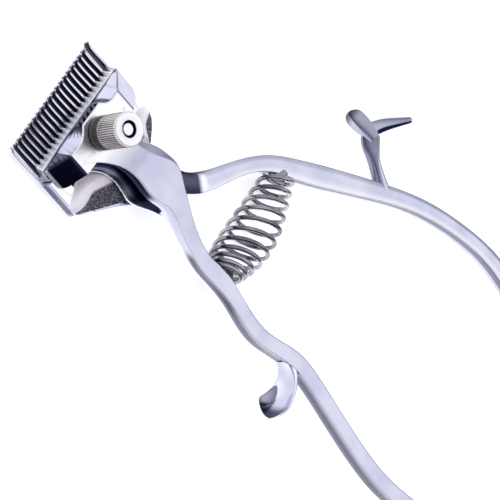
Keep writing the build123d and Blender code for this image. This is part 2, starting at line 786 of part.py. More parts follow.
with BuildPart() as frame_screws:
    for x, y in frame_screw_places:
        with BuildSketch(Plane.XY.offset(comb_thickness - tail_drop + 0.1)):
            with Locations((x, y)):
                Circle(2 * frame_screw_radius)
        extrude(amount=frame_screw_head_height - 0.1)
        with BuildSketch(Plane.XY.offset(comb_thickness - tail_drop + 0.1)):
            with Locations((x, y)):
                Circle(frame_screw_radius)
        extrude(amount=shoulder_top_z + frame_screw_engagement - (comb_thickness - tail_drop + 0.1))
        with Locations((x, y, comb_thickness - tail_drop + 0.1)):
            Box(4 * frame_screw_radius + 1, 0.8, 1.2, mode=Mode.SUBTRACT)
frame_screws.part.label = "frame_screws"

with BuildPart() as dowel_pins:
    with BuildSketch(Plane.XY.offset(0.3)):
        for side in (-1, 1):
            with Locations((side * comb_screw_x, dowel_y)):
                Circle(dowel_radius)
    extrude(amount=comb_thickness + blind_hole_depth - 0.3)
dowel_pins.part.label = "dowel_pins"

with BuildPart() as stop_pin:
    with BuildSketch(Plane.XY.offset(comb_thickness)):
        with Locations(stop_pin_place):
            Circle(stop_pin_radius)
    extrude(amount=lever_top_z - comb_thickness)
stop_pin.part.label = "stop_pin"

for piece in (
    comb_blade,
    cutter_blade,
    base_casting,
    top_frame,
    lever_handle,
    lever_bush,
    drive_pin,
    drive_roller,
    pivot_stud,
    tension_nut,
    nut_washer,
    roof_washer,
    tension_spring,
    return_spring,
    comb_screws,
    frame_screws,
    dowel_pins,
    stop_pin,
):
    export_step(piece.part, "parts/" + piece.part.label + ".step")
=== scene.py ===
import bmesh
import bpy
import numpy as np
from mathutils import Matrix, Vector


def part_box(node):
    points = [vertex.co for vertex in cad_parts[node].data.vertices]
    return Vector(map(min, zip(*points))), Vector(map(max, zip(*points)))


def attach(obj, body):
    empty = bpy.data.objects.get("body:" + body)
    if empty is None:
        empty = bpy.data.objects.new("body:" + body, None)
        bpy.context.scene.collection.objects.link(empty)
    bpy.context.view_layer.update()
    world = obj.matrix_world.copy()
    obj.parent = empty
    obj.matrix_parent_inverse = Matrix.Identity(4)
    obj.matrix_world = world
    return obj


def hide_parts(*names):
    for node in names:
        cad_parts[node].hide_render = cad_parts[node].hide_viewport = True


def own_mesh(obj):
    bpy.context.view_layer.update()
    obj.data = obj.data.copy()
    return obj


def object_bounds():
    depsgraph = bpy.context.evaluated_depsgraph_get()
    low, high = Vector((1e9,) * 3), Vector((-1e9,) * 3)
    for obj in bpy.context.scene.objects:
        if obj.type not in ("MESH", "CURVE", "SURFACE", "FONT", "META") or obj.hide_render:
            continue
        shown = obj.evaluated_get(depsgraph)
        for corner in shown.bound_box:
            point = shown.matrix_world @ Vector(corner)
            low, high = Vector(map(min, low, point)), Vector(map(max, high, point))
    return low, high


# Hand-squeezed chrome clipper. Shapes are worked out in millimetres and written to the meshes in metres.
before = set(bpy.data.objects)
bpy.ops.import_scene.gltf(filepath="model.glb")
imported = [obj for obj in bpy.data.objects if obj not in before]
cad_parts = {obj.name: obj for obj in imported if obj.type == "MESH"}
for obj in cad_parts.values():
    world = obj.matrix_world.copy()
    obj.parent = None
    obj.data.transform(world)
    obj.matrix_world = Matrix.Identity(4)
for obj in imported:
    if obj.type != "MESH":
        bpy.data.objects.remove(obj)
cad_box = [list(corner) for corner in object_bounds()]
MM = 0.001
TURN = 2 * np.pi


def node_box(node):
    """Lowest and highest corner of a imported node, in millimetres."""
    low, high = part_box(node)
    return np.array(low) / MM, np.array(high) / MM


COMB_LOW, COMB_HIGH = node_box("comb_blade")
CUTTER_LOW, CUTTER_HIGH = node_box("cutter_blade")
BASE_LOW, BASE_HIGH = node_box("base_casting")
FRAME_HIGH = node_box("top_frame")[1]
NUT_LOW, NUT_HIGH = node_box("tension_nut")
STUD_HIGH = node_box("pivot_stud")[1]
BUSH_LOW, BUSH_HIGH = node_box("lever_bush")
TOOTH_PITCH = 2.05
COMB_TEETH = 21
STUD_ABOVE_ROOF = 12.08
ROOF_TOP = STUD_HIGH[2] - STUD_ABOVE_ROOF
# Each point of a piece carries a mark of painted light: 0 is painted shade and dark reflection, METAL_TONE
# the metal itself, 1 a painted white highlight, also a little rougher.
METAL_TONE = 0.75


# ---------- surfaces ----------
def spline(knots, values, where):
    """Natural cubic spline: second derivatives M solve the tridiagonal system, then each span is a cubic."""
    t = np.asarray(knots, float)
    v = np.asarray(values, float).reshape(len(t), -1)
    h = np.diff(t)
    n = len(t)
    system = np.eye(n)
    rows = np.arange(1, n - 1)
    system[rows, rows - 1] = h[:-1]
    system[rows, rows] = 2 * (h[:-1] + h[1:])
    system[rows, rows + 1] = h[1:]
    right = np.zeros_like(v)
    right[1:-1] = 6 * np.diff(np.diff(v, axis=0) / h[:, None], axis=0)
    m = np.linalg.solve(system, right)
    x = np.asarray(where, float)
    i = np.clip(np.searchsorted(t, x) - 1, 0, n - 2)
    a = ((t[i + 1] - x) / h[i])[:, None]
    b = ((x - t[i]) / h[i])[:, None]
    bend = ((a**3 - a) * m[i] + (b**3 - b) * m[i + 1]) * (h[i] ** 2)[:, None] / 6
    return a * v[i] + b * v[i + 1] + bend


def smooth_step(x, low, high):
    """0 below low, 1 above high, 3t^2 - 2t^3 between."""
    t = np.clip((x - low) / (high - low), 0, 1)
    return t * t * (3 - 2 * t)


def rounded_loop(corners, radii, steps=5):
    """Closed outlines with rounded corners: each corner P becomes the quadratic curve
    (1-t)^2 A + 2t(1-t) P + t^2 B, where A and B lie a radius away along its two edges.
    corners is (rows, corners, 3), radii is (corners,) or (rows, corners)."""
    p = np.asarray(corners, float)
    r = np.broadcast_to(np.asarray(radii, float), p.shape[:2])[..., None]
    back = np.roll(p, 1, axis=1) - p
    ahead = np.roll(p, -1, axis=1) - p
    back_length = np.linalg.norm(back, axis=2, keepdims=True) + 1e-9
    ahead_length = np.linalg.norm(ahead, axis=2, keepdims=True) + 1e-9
    a = p + back / back_length * np.minimum(r, back_length * 0.47)
    b = p + ahead / ahead_length * np.minimum(r, ahead_length * 0.47)
    t = np.linspace(0, 1, steps + 1)[None, None, :, None]
    curve = (1 - t) ** 2 * a[:, :, None] + 2 * t * (1 - t) * p[:, :, None] + t**2 * b[:, :, None]
    return curve.reshape(len(p), -1, 3)


def skin(loops):
    """Quads between neighbouring loops (rows, points, 3), and a flat face over each end."""
    rows, count = loops.shape[:2]
    i = np.arange(rows - 1)[:, None] * count
    j = np.arange(count)[None, :]
    k = (j + 1) % count
    quads = np.stack([i + j, i + k, i + count + k, i + count + j], axis=-1).reshape(-1, 4)
    faces = quads.tolist()
    faces.append(list(range(count))[::-1])
    faces.append(list(range((rows - 1) * count, rows * count)))
    return loops.reshape(-1, 3), faces


def toned(shell, tones, steps):
    """Adds painted light to a shell of rounded loops: each corner's tone, from 1 a painted white highlight to
    0 painted shade and dark reflection, holds round its curve, and the flats between run from one to the
    next.
    tones is (corners,) or (rows, corners)."""
    points, faces = shell
    corners = np.asarray(tones).shape[-1]
    rows = len(points) // (corners * (steps + 1))
    whole = np.broadcast_to(np.asarray(tones, float), (rows, corners))
    return points, faces, np.clip(np.repeat(whole, steps + 1, axis=1).reshape(-1), 0, 1)


def ring_skin(loops):
    """Quads between loops that also close from the last row to the first, as round a torus."""
    rows, count = loops.shape[:2]
    i = np.arange(rows)[:, None]
    j = np.arange(count)[None, :]
    n = (i + 1) % rows
    k = (j + 1) % count
    quads = np.stack([i * count + j, i * count + k, n * count + k, n * count + j], axis=-1)
    return loops.reshape(-1, 3), quads.reshape(-1, 4).tolist()


def copies(shell, shifts):
    """The same shell at each of several places."""
    points, faces = shell
    moved = points[None] + np.asarray(shifts, float)[:, None]
    count = len(points)
    all_faces = [[v + n * count for v in face] for n in range(len(moved)) for face in faces]
    return moved.reshape(-1, 3), all_faces


def solid_piece(name, shells, material, body, nodes=(), crease=0.6, marks=None):
    """One mesh from closed shells given in millimetres, faces turned outwards, riding on a body."""
    points, faces, shades, start = [], [], [], 0
    for shell_points, shell_faces, *shade in shells:
        points.append(shell_points)
        faces += [[v + start for v in face] for face in shell_faces]
        shades.append(shade[0] if shade else np.full(len(shell_points), METAL_TONE))
        start += len(shell_points)
    place = np.concatenate(points) * MM
    mesh = bpy.data.meshes.new(name)
    mesh.from_pydata(place.tolist(), [], faces)
    turn_outwards(mesh)
    mesh.shade_smooth()
    mesh.set_sharp_from_angle(angle=crease)
    mesh.materials.append(material)
    shade = marks(place / MM) if marks else np.concatenate(shades)
    # This attribute holds each point's mark of painted light: painted shade below METAL_TONE, a painted white
    # highlight above it.
    attribute = mesh.attributes.new("shading", "FLOAT", "POINT")
    attribute.data.foreach_set("value", shade.astype(np.float32))
    piece = bpy.data.objects.new(name, mesh)
    bpy.context.scene.collection.objects.link(piece)
    even = piece.modifiers.new("flat_faces_first", "WEIGHTED_NORMAL")
    even.keep_sharp = True
    even.weight = 80
    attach(piece, body)
    if nodes:
        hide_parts(*nodes)
    return piece


def turn_outwards(mesh):
    """Recalculates the normals of every closed shell so that they face out."""
    work = bmesh.new()
    work.from_mesh(mesh)
    bmesh.ops.recalc_face_normals(work, faces=work.faces)
    work.to_mesh(mesh)
    work.free()


def plate(outline, bottom, top, edge, radii, steps):
    """A plan outline raised from bottom to top, its rims rolled over by a small quarter curve."""
    corners = np.asarray(outline, float)
    flat = np.concatenate([corners, np.zeros((len(corners), 1))], axis=1)[None]
    loop = rounded_loop(flat, radii, steps)[0]
    before = np.roll(loop, 1, axis=0) - loop
    after = np.roll(loop, -1, axis=0) - loop
    run = after - before
    run /= np.linalg.norm(run, axis=1, keepdims=True) + 1e-9
    area = np.sum(loop[:, 0] * np.roll(loop[:, 1], -1) - loop[:, 1] * np.roll(loop[:, 0], -1))
    inward = np.stack([-run[:, 1], run[:, 0], np.zeros(len(run))], axis=1) * np.sign(area)
    turn = np.linspace(0, np.pi / 2, 4)
    insets = np.concatenate([edge * (1 - np.sin(turn)), edge * (1 - np.cos(turn))])
    levels = np.concatenate([bottom + edge * (1 - np.cos(turn)), top - edge * (1 - np.sin(turn))])
    loops = loop[None] + inward[None] * insets[:, None, None]
    loops[:, :, 2] = levels[:, None]
    return skin(loops)


TURNED_SIDES = 96


def turned(profile, middle=(0, 0), sides=TURNED_SIDES):
    """A profile of (radius, height) carried round a vertical axis, closed at both ends."""
    line = np.asarray(profile, float)
    angle = np.linspace(0, TURN, sides, endpoint=False)
    x = line[:, :1] * np.cos(angle) + middle[0]
    y = line[:, :1] * np.sin(angle) + middle[1]
    z = np.repeat(line[:, 1:], sides, axis=1)
    return skin(np.stack([x, y, z], axis=-1))


def level_across(path):
    """The level direction across a path, to its right."""
    run = np.gradient(path, axis=0)
    run /= np.linalg.norm(run, axis=1, keepdims=True)
    across = np.cross(run, (0.0, 0.0, 1.0))
    return across / np.linalg.norm(across, axis=1, keepdims=True)


def leaf(stations, count=70, sides=48, bead=0.5, blunt=0.9, tones=(0.9, 0.7, 0.4)):
    """A thin cupped leaf. Round each section by an angle q: a centre plus width*cos(q) across, plus
    cup*cos(q)^2 and thickness/2*sin(q)*(1 + bead*cos(q)^4) along the leaf's normal.
    A station is centre, across, half width, cup and thickness; tones are the painted light of its rim, face
    and bowl, a high one a painted highlight and a low one painted shade."""
    table = np.array([[*c, *a, w, k, d] for c, a, w, k, d in stations])
    knots = np.concatenate([[0], np.cumsum(np.linalg.norm(np.diff(table[:, :3], axis=0), axis=1))])
    share = 1 - (1 - np.linspace(0, 1, count)) ** 1.35
    rows = spline(knots, table, share * knots[-1])
    centre, across = rows[:, :3], rows[:, 3:6]
    run = np.gradient(centre, axis=0)
    run /= np.linalg.norm(run, axis=1, keepdims=True)
    across = across - run * np.sum(across * run, axis=1, keepdims=True)
    across /= np.linalg.norm(across, axis=1, keepdims=True)
    normal = np.cross(run, across)
    left = knots[-1] - share * knots[-1]
    reach = np.clip(left / (rows[:, 6] * blunt + 1e-6), 1e-4, 1)
    tip = np.sqrt(reach * (2 - reach))
    q = np.linspace(0, TURN, sides, endpoint=False)[None, :, None]
    width = (rows[:, 6] * tip)[:, None, None]
    cup = (rows[:, 7] * tip**2)[:, None, None]
    thick = (rows[:, 8] * np.sqrt(tip))[:, None, None] / 2
    rim = 1 + bead * np.cos(q) ** 4
    loops = centre[:, None] + across[:, None] * width * np.cos(q)
    loops = loops + normal[:, None] * (cup * np.cos(q) ** 2 + thick * np.sin(q) * rim)
    points, faces = skin(loops)
    rim_tone, face_tone, bowl_tone = tones
    bowl = smooth_step(share, 0.68, 0.92)[:, None]
    on_rim = smooth_step(np.abs(np.cos(q[0, :, 0])), 0.93, 0.985)[None, :]
    tone = (face_tone + (bowl_tone - face_tone) * bowl) * (1 - on_rim) + rim_tone * on_rim
    return points, faces, tone.reshape(-1)


# ---------- finishes ----------
class Value:
    """A socket of a shader. Arithmetic between values and numbers adds Math nodes."""

    def __init__(self, shader, socket):
        self.shader = shader
        self.socket = socket

    def work(self, operation, *operands):
        return self.shader.node("ShaderNodeMath", {"operation": operation}, dict(enumerate(operands)))

    def __add__(self, other):
        return self.work("ADD", self, other)

    def __sub__(self, other):
        return self.work("SUBTRACT", self, other)

    def __mul__(self, other):
        return self.work("MULTIPLY", self, other)

    def __rsub__(self, other):
        return self.work("SUBTRACT", other, self)

    __radd__ = __add__
    __rmul__ = __mul__


class Shader:
    """Builds the nodes of one material or world."""

    def __init__(self, owner):
        owner.use_nodes = True
        self.tree = owner.node_tree
        self.tree.nodes.clear()

    def node(self, kind, settings=None, values=None, out=0):
        """Adds a node: settings first, then its sockets' numbers or links; gives one of its outputs."""
        made = self.tree.nodes.new(kind)
        for key, setting in (settings or {}).items():
            setattr(made, key, setting)
        for key, value in (values or {}).items():
            if isinstance(value, Value):
                self.tree.links.new(value.socket, made.inputs[key])
            else:
                made.inputs[key].default_value = value
        return Value(self, made.outputs[out]) if len(made.outputs) else None

    def place(self):
        return self.node("ShaderNodeTexCoord", out="Object")

    def noise(self, scale, detail, stretch=None):
        spot = self.place()
        if stretch:
            spot = self.node("ShaderNodeMapping", {}, {"Vector": spot, "Scale": stretch})
        return self.node("ShaderNodeTexNoise", {}, {"Vector": spot, "Scale": scale, "Detail": detail})

    def mix(self, amount, first, second):
        """Colour first where amount is 0, second where it is 1."""
        return self.node("ShaderNodeMix", {"data_type": "RGBA"}, {0: amount, 6: first, 7: second}, out=2)

    def ramp(self, value, low, high):
        """Value remapped so that low gives 0 and high gives 1, smoothly."""
        settings = {"interpolation_type": "SMOOTHSTEP"}
        return self.node("ShaderNodeMapRange", settings, {0: value, 1: low, 2: high})

    def bump(self, height, strength, distance):
        values = {"Height": height, "Strength": strength, "Distance": distance}
        return self.node("ShaderNodeBump", {}, values)


SPECK_GREY = (0.34, 0.33, 0.36, 1)


def metal(name, light, dark, rough, rough_spread=0.04, waves=0.0, pits=0.0, brushing=None, painted_shade_colour=None,
          whole=1.0):
    """A bare or plated metal. Colour drifts between light and dark with a broad noise, roughness with a
    fine one; waves is a gentle unevenness of the surface, pits a coarse casting texture, brushing a grain
    stretched along the axes, and whole how metallic it is. Where a colour of painted shade is given, each
    point's mark of painted light paints it as shade and dark reflection below METAL_TONE, and a white
    highlight above it."""
    material = bpy.data.materials.new(name)
    shader = Shader(material)
    broad = shader.ramp(shader.noise(90.0, 2.0), 0.35, 0.68)
    fine = shader.noise(900.0, 4.0)
    colour = shader.mix(broad, (*light, 1), (*dark, 1))
    roughness = fine * rough_spread + (rough - rough_spread / 2)
    height = shader.noise(160.0, 1.0) * waves
    if brushing:
        grain = shader.noise(1.0, 2.0, stretch=brushing)
        height = height + grain * 0.25
        roughness = roughness + grain * 0.08
    if pits:
        cells = shader.noise(1500.0, 3.0)
        lumps = shader.noise(520.0, 2.0)
        height = height + (cells + lumps) * pits
        roughness = roughness + lumps * 0.25
    if painted_shade_colour:
        # Painted light: the point's mark paints the shade colour, as painted shade and dark reflection, below
        # METAL_TONE and a white highlight above it; the highlight is also made rougher. On a casting, grey
        # pit specks show through the painted shade.
        share = shader.node("ShaderNodeAttribute", {"attribute_name": "shading"}, out="Fac")
        satin_and_painted_highlight = shader.ramp(share, METAL_TONE, 1.0)
        painted_shade = (*painted_shade_colour, 1)
        if pits:
            specks = shader.ramp(shader.noise(2400.0, 3.0), 0.46, 0.70)
            painted_shade = shader.mix(specks, (*painted_shade_colour, 1), SPECK_GREY)
        colour = shader.mix(shader.ramp(share, 0.0, METAL_TONE), painted_shade, colour)
        colour = shader.mix(satin_and_painted_highlight, colour, (1.0, 1.0, 1.0, 1))
        roughness = roughness + satin_and_painted_highlight * 0.22 + (1.0 - share) * 0.06
    values = {"Base Color": colour, "Roughness": roughness, "Metallic": whole}
    if waves or brushing or pits:
        values["Normal"] = shader.bump(height, 0.35, 0.0001)
    surface = shader.node("ShaderNodeBsdfPrincipled", {}, values)
    shader.node("ShaderNodeOutputMaterial", {}, {"Surface": surface})
    return material


# The last colour given to a metal here is the colour of its painted shade and dark reflections.
chrome = metal("polished_chrome", (0.66, 0.66, 0.76), (0.55, 0.56, 0.68), 0.09,
               waves=1.0, painted_shade_colour=(0.022, 0.026, 0.065))
cast = metal("plated_casting", (1.0, 0.92, 0.95), (0.90, 0.82, 0.87), 0.42, 0.10,
             pits=1.8, painted_shade_colour=(0.03, 0.03, 0.045), whole=0.15)
comb_steel = metal("comb_steel", (0.80, 0.79, 0.86), (0.66, 0.66, 0.76), 0.16,
                   brushing=(3000, 160, 600), painted_shade_colour=(0.012, 0.014, 0.04))
cutter_steel = metal("ground_cutter_steel", (1.0, 1.0, 1.0), (0.94, 0.94, 0.97), 0.30,
                     brushing=(200, 2600, 900))
nickel = metal("knurled_nickel", (0.70, 0.66, 0.62), (0.52, 0.49, 0.47), 0.22, 0.08,
               painted_shade_colour=(0.02, 0.018, 0.022))
nickel_face = metal("bright_nickel", (0.90, 0.89, 0.90), (0.78, 0.77, 0.78), 0.16, 0.06,
                    waves=0.3, painted_shade_colour=(0.02, 0.02, 0.025))
wire = metal("spring_wire", (0.44, 0.43, 0.46), (0.16, 0.15, 0.18), 0.12, 0.06, waves=0.4)
bronze = metal("bronze_bush", (0.72, 0.50, 0.27), (0.58, 0.38, 0.20), 0.30, 0.10, brushing=(900, 900, 3000))
steel = metal("turned_steel", (0.58, 0.58, 0.62), (0.42, 0.42, 0.46), 0.28, 0.10, brushing=(900, 900, 2600))

# ---------- comb ----------
TIP_Y = COMB_LOW[1]
COMB_THICKNESS = 2.2
COMB_TOP = COMB_LOW[2] + COMB_THICKNESS
TEETH_BACK = -3.95
HALF_COMB = COMB_HIGH[0]


def comb_tooth():
    """One tooth: a profile along y whose top dips behind the hooked tip, its flanks rounded over."""
    along = np.array([0, 0.25, 0.7, 1.1, 1.6, 2.6, 4.4, 6.6, 9.4, 13.8])
    top = np.array([2.25, 2.75, 2.98, 2.8, 2.3, 1.95, 1.85, 1.95, 2.14, 2.14])
    under = np.array([2.0, 1.5, 0.95, 0.62, 0.4, 0.12, 0.02, 0.02, 0.02, 0.02])
    half = np.array([0.12, 0.24, 0.34, 0.36, 0.37, 0.37, 0.37, 0.38, 0.40, 0.40])
    at = np.linspace(0, 1, 46) ** 1.4 * along[-1]
    rows = spline(along, np.stack([top, under, half], axis=1), at)
    y = TIP_Y + at
    high, low, wide = rows.T
    foot = wide + 0.28 * smooth_step(at, 0.8, 3.0)
    x = np.stack([wide, foot, -foot, -wide], axis=1)
    z = np.stack([high, low, low, high], axis=1)
    corners = np.stack([x, np.repeat(y[:, None], 4, axis=1), z], axis=-1)
    return skin(rounded_loop(corners, (0.16, 0.1, 0.1, 0.16), 3))


tooth_places = (np.arange(COMB_TEETH) - (COMB_TEETH - 1) / 2) * TOOTH_PITCH
inner_places = tooth_places[1:-1]
teeth = copies(comb_tooth(), np.outer(inner_places, (1, 0, 0)))
plate_half = HALF_COMB - 0.02
plate_front, plate_back = -3.9, COMB_HIGH[1]
comb_outline = [(-plate_half, plate_front), (plate_half, plate_front), (plate_half, plate_back),
                (-plate_half, plate_back)]
comb_plate = plate(comb_outline, COMB_LOW[2], COMB_TOP, 0.12, (0.1, 0.1, 2.0, 2.0), 8)


def outer_tooth(side):
    """The comb's side rail: the last tooth is broader and runs out flush with the plate's edge."""
    inner = HALF_COMB - 0.8
    along = np.array([0, 0.3, 0.8, 1.5, 2.6, 4.4, 6.6, 9.4, 14.2, 24.0])
    top = np.array([2.2, 2.7, 2.9, 2.35, 1.95, 1.85, 1.95, 2.14, 2.16, 2.16])
    under = np.array([1.9, 1.4, 0.9, 0.45, 0.14, 0.02, 0.02, 0.02, 0.02, 0.02])
    at = np.linspace(0, 1, 40) ** 1.3 * along[-1]
    rows = spline(along, np.stack([top, under], axis=1), at)
    y = np.repeat((TIP_Y + at)[:, None], 4, axis=1)
    x = np.broadcast_to(np.array([inner, inner - 0.5, HALF_COMB, HALF_COMB]) * side, (len(at), 4))
    z = np.stack([rows[:, 0], rows[:, 1], rows[:, 1], rows[:, 0]], axis=1)
    return skin(rounded_loop(np.stack([x, y, z], axis=-1), (0.12, 0.1, 0.2, 0.35), 3))


def comb_painted_light(p):
    """Painted light on the comb: the metal's own tone on the ground top, a painted highlight towards the
    tips, and painted shade (0) down the teeth's flanks and beside the side rails.
    """
    local = np.abs((p[:, 0] / TOOTH_PITCH + 0.5) % 1 - 0.5) * TOOTH_PITCH
    out = np.abs(p[:, 0])
    in_teeth = p[:, 1] < TEETH_BACK
    flank_shade = smooth_step(local, 0.31, 0.40) * in_teeth * (out < HALF_COMB - 0.5)
    shade_beside_rail = (out > HALF_COMB - 2.2) * (out < HALF_COMB - 0.88) * in_teeth
    flank_shade = np.maximum(flank_shade, shade_beside_rail * 1.0)
    tip = 0.35 * smooth_step(-p[:, 1], 15.4, 16.4)
    return METAL_TONE - METAL_TONE * flank_shade * (1 - tip) + (1 - METAL_TONE) * tip


comb_shells = [teeth, outer_tooth(1), outer_tooth(-1), comb_plate]
solid_piece("comb", comb_shells, comb_steel, "frame", ["comb_blade"], marks=comb_painted_light)

# ---------- cutter ----------
CUTTER_TEETH = 20
cutter_tip, cutter_back = CUTTER_LOW[1], -1.5
cutter_left, cutter_right = CUTTER_LOW[0], CUTTER_HIGH[0]


def cutter_strip():
    """The cutter's front edge is a zigzag: its y swings between tip and root once a pitch."""
    count = CUTTER_TEETH * 8
    x = np.linspace(cutter_left, cutter_right, count + 1)
    phase = (x - cutter_left) / TOOTH_PITCH % 1
    zig = np.clip(1.25 - 2.5 * np.abs(phase - 0.5), 0, 1)
    front = cutter_tip + 1.3 * (1 - zig)
    z0, z1 = COMB_TOP, CUTTER_HIGH[2]
    share = np.array([0.02, 0.0, 0.25, 0.6, 0.9, 1.0])
    root = cutter_tip + 1.45
    tops = z0 + 0.45 + (z1 - 0.1 - z0 - 0.45) * share
    ys = front[:, None] + (root - front)[:, None] * share[None, :]
    rail = np.array([
        (root + 0.2, z1), (-3.6, z1), (-3.5, z1 - 0.4), (-2.2, z1 - 0.4), (-2.1, z1),
        (cutter_back - 0.15, z1), (cutter_back, z1 - 0.15), (cutter_back, z0),
    ])
    rail_y, rail_z = [np.broadcast_to(column, (count + 1, len(rail))) for column in rail.T]
    y = np.concatenate([ys, rail_y, front[:, None]], axis=1)
    z = np.concatenate([np.broadcast_to(tops, ys.shape), rail_z, np.full((count + 1, 1), z0)], axis=1)
    return skin(np.stack([np.repeat(x[:, None], y.shape[1], axis=1), y, z], axis=-1))


def frame_around(outer, inner, bottom, top):
    """A flat ring between two rectangles of (x0, y0, x1, y1), with square walls."""
    def loop(r, z):
        return [(r[0], r[1], z), (r[2], r[1], z), (r[2], r[3], z), (r[0], r[3], z)]
    return ring_skin(np.array([loop(outer, bottom), loop(outer, top), loop(inner, top), loop(inner, bottom)]))


blade_middle = (cutter_left + cutter_right) / 2
tongue = (blade_middle - 14, cutter_back - 0.2, blade_middle + 14, CUTTER_HIGH[1])
window = (blade_middle - 4.9, cutter_back + 0.4, blade_middle + 4.9, CUTTER_HIGH[1] - 1.2)
tongue_ring = frame_around(tongue, window, COMB_TOP, CUTTER_HIGH[2] - 0.02)
solid_piece("cutter", [cutter_strip(), tongue_ring], cutter_steel, "blade", ["cutter_blade"])

# ---------- base ----------
base_top = 4.6
half_base = BASE_HIGH[0]
base_back = BASE_HIGH[1]


def painted_top_highlight(shell, above):
    """A shell painted with a white highlight on its points above a height, and a little painted shade below
    it.
    """
    points, faces = shell
    return points, faces, np.where(points[:, 2] > above, 1.0, 0.6)


def base_side(side):
    """One cheek of the base beside the cutter's tongue."""
    inner = 15.3
    outline = [(side * inner, -1.2), (side * half_base, -1.2), (side * half_base, 11.4), (side * inner, 15.3)]
    return painted_top_highlight(plate(outline, COMB_TOP, base_top, 0.22, (0.4, 0.8, 1.6, 0.2), 8), base_top - 0.05)


tail_outline = [(-15.4, 11.0), (-15.4, 15.2), (-4.6, base_back), (2.0, base_back), (8.2, 20.4), (15.4, 15.2),
                (15.4, 11.0)]
base_tail = plate(tail_outline, COMB_TOP, base_top, 0.22, (0.2, 0.2, 1.2, 1.2, 2.0, 0.2, 0.2), 6)
under_back = base_back - 1.4
under_outline = [(-17.5, 11.5), (-4.0, under_back), (1.6, under_back), (7.4, 19.6), (17.5, 11.5)]
base_under = plate(under_outline, BASE_LOW[2], COMB_TOP + 0.3, 0.5, 1.0, 4)
base_shells = [base_side(1), base_side(-1), base_tail, base_under]
solid_piece("base_plate", base_shells, chrome, "frame", ["base_casting"])


def cast_step(front, rear, height, rear_height, crest, sharp_side=0.3):
    """A cast step: from its front line it climbs in an S to a crest, then falls away to its rear line.
    The front stays plated and light; the rear is rough cast and painted dark, a painted shade from the
    frame's arch above it, and the step is a little lighter towards the end of its lines."""
    rows, columns = 60, 40
    t = np.linspace(0, 1, rows)
    s = np.linspace(0, 1, columns)
    f, r = np.array(front, float), np.array(rear, float)
    k = np.linspace(0, 1, len(f))
    f, r = spline(k, f, s), spline(k, r, s)
    plan = f[None] + (r - f)[None] * t[:, None, None]
    profile = smooth_step(t, 0.0, crest) * (1 - (1 - rear_height) * smooth_step(t, crest, 1.0))
    dome = np.sin(np.pi * np.clip(s, 0.003, 0.997)) ** sharp_side
    z = base_top - 0.1 + (0.1 + height * dome[None, :]) * profile[:, None]
    top = np.concatenate([plan, z[..., None]], axis=-1)
    low = top.copy()
    low[..., 2] = base_top - 0.6
    points, faces = skin(np.concatenate([top, low[:, ::-1]], axis=1))
    edge = crest * (1.35 + 1.1 * smooth_step(s, 0.55, 1.0))
    # Painted shade: behind a line near the crest the step is painted dark.
    plated = 1 - smooth_step(t[:, None] - edge[None, :], 0.0, 0.14)
    tone = 0.78 * plated + 0.12 * smooth_step(s, 0.6, 1.0)[None, :]
    tone = np.concatenate([tone, tone[:, ::-1]], axis=1)
    return points, faces, np.clip(tone, 0, 1).reshape(-1)


near_front = [(3.6, 7.6), (9.6, 5.6), (14.4, 5.0), (20.6, 7.6)]
near_rear = [(2.0, 23.4), (7.6, 19.9), (13.6, 15.8), (20.4, 11.3)]
near_step = cast_step(near_front, near_rear, 1.9, 0.15, 0.28)
solid_piece("base_near_step", [near_step], cast, "frame")
far_front = [(-20.2, 8.4), (-17.8, 7.2), (-15.2, 7.0), (-12.8, 7.2)]
far_rear = [(-19.4, 12.2), (-17.2, 14.0), (-15.0, 15.6), (-12.8, 17.2)]
far_step = cast_step(far_front, far_rear, 1.6, 0.4, 0.35)
solid_piece("base_far_step", [far_step], cast, "frame")

# ---------- top frame: bridge ----------
BRIDGE_REAR, FOOT_Z = 4.2, 4.9
ROOF_RIGHT, FOOT_RIGHT = 12.0, 19.4
ROOF_LEFT, FOOT_LEFT = -12.9, -20.9


def lower_of(a, b, blend=0.22):
    """The lower of two heights, rounded where they cross: (a + b - sqrt((a-b)^2 + blend^2)) / 2."""
    return (a + b - np.sqrt((a - b) ** 2 + blend**2)) / 2


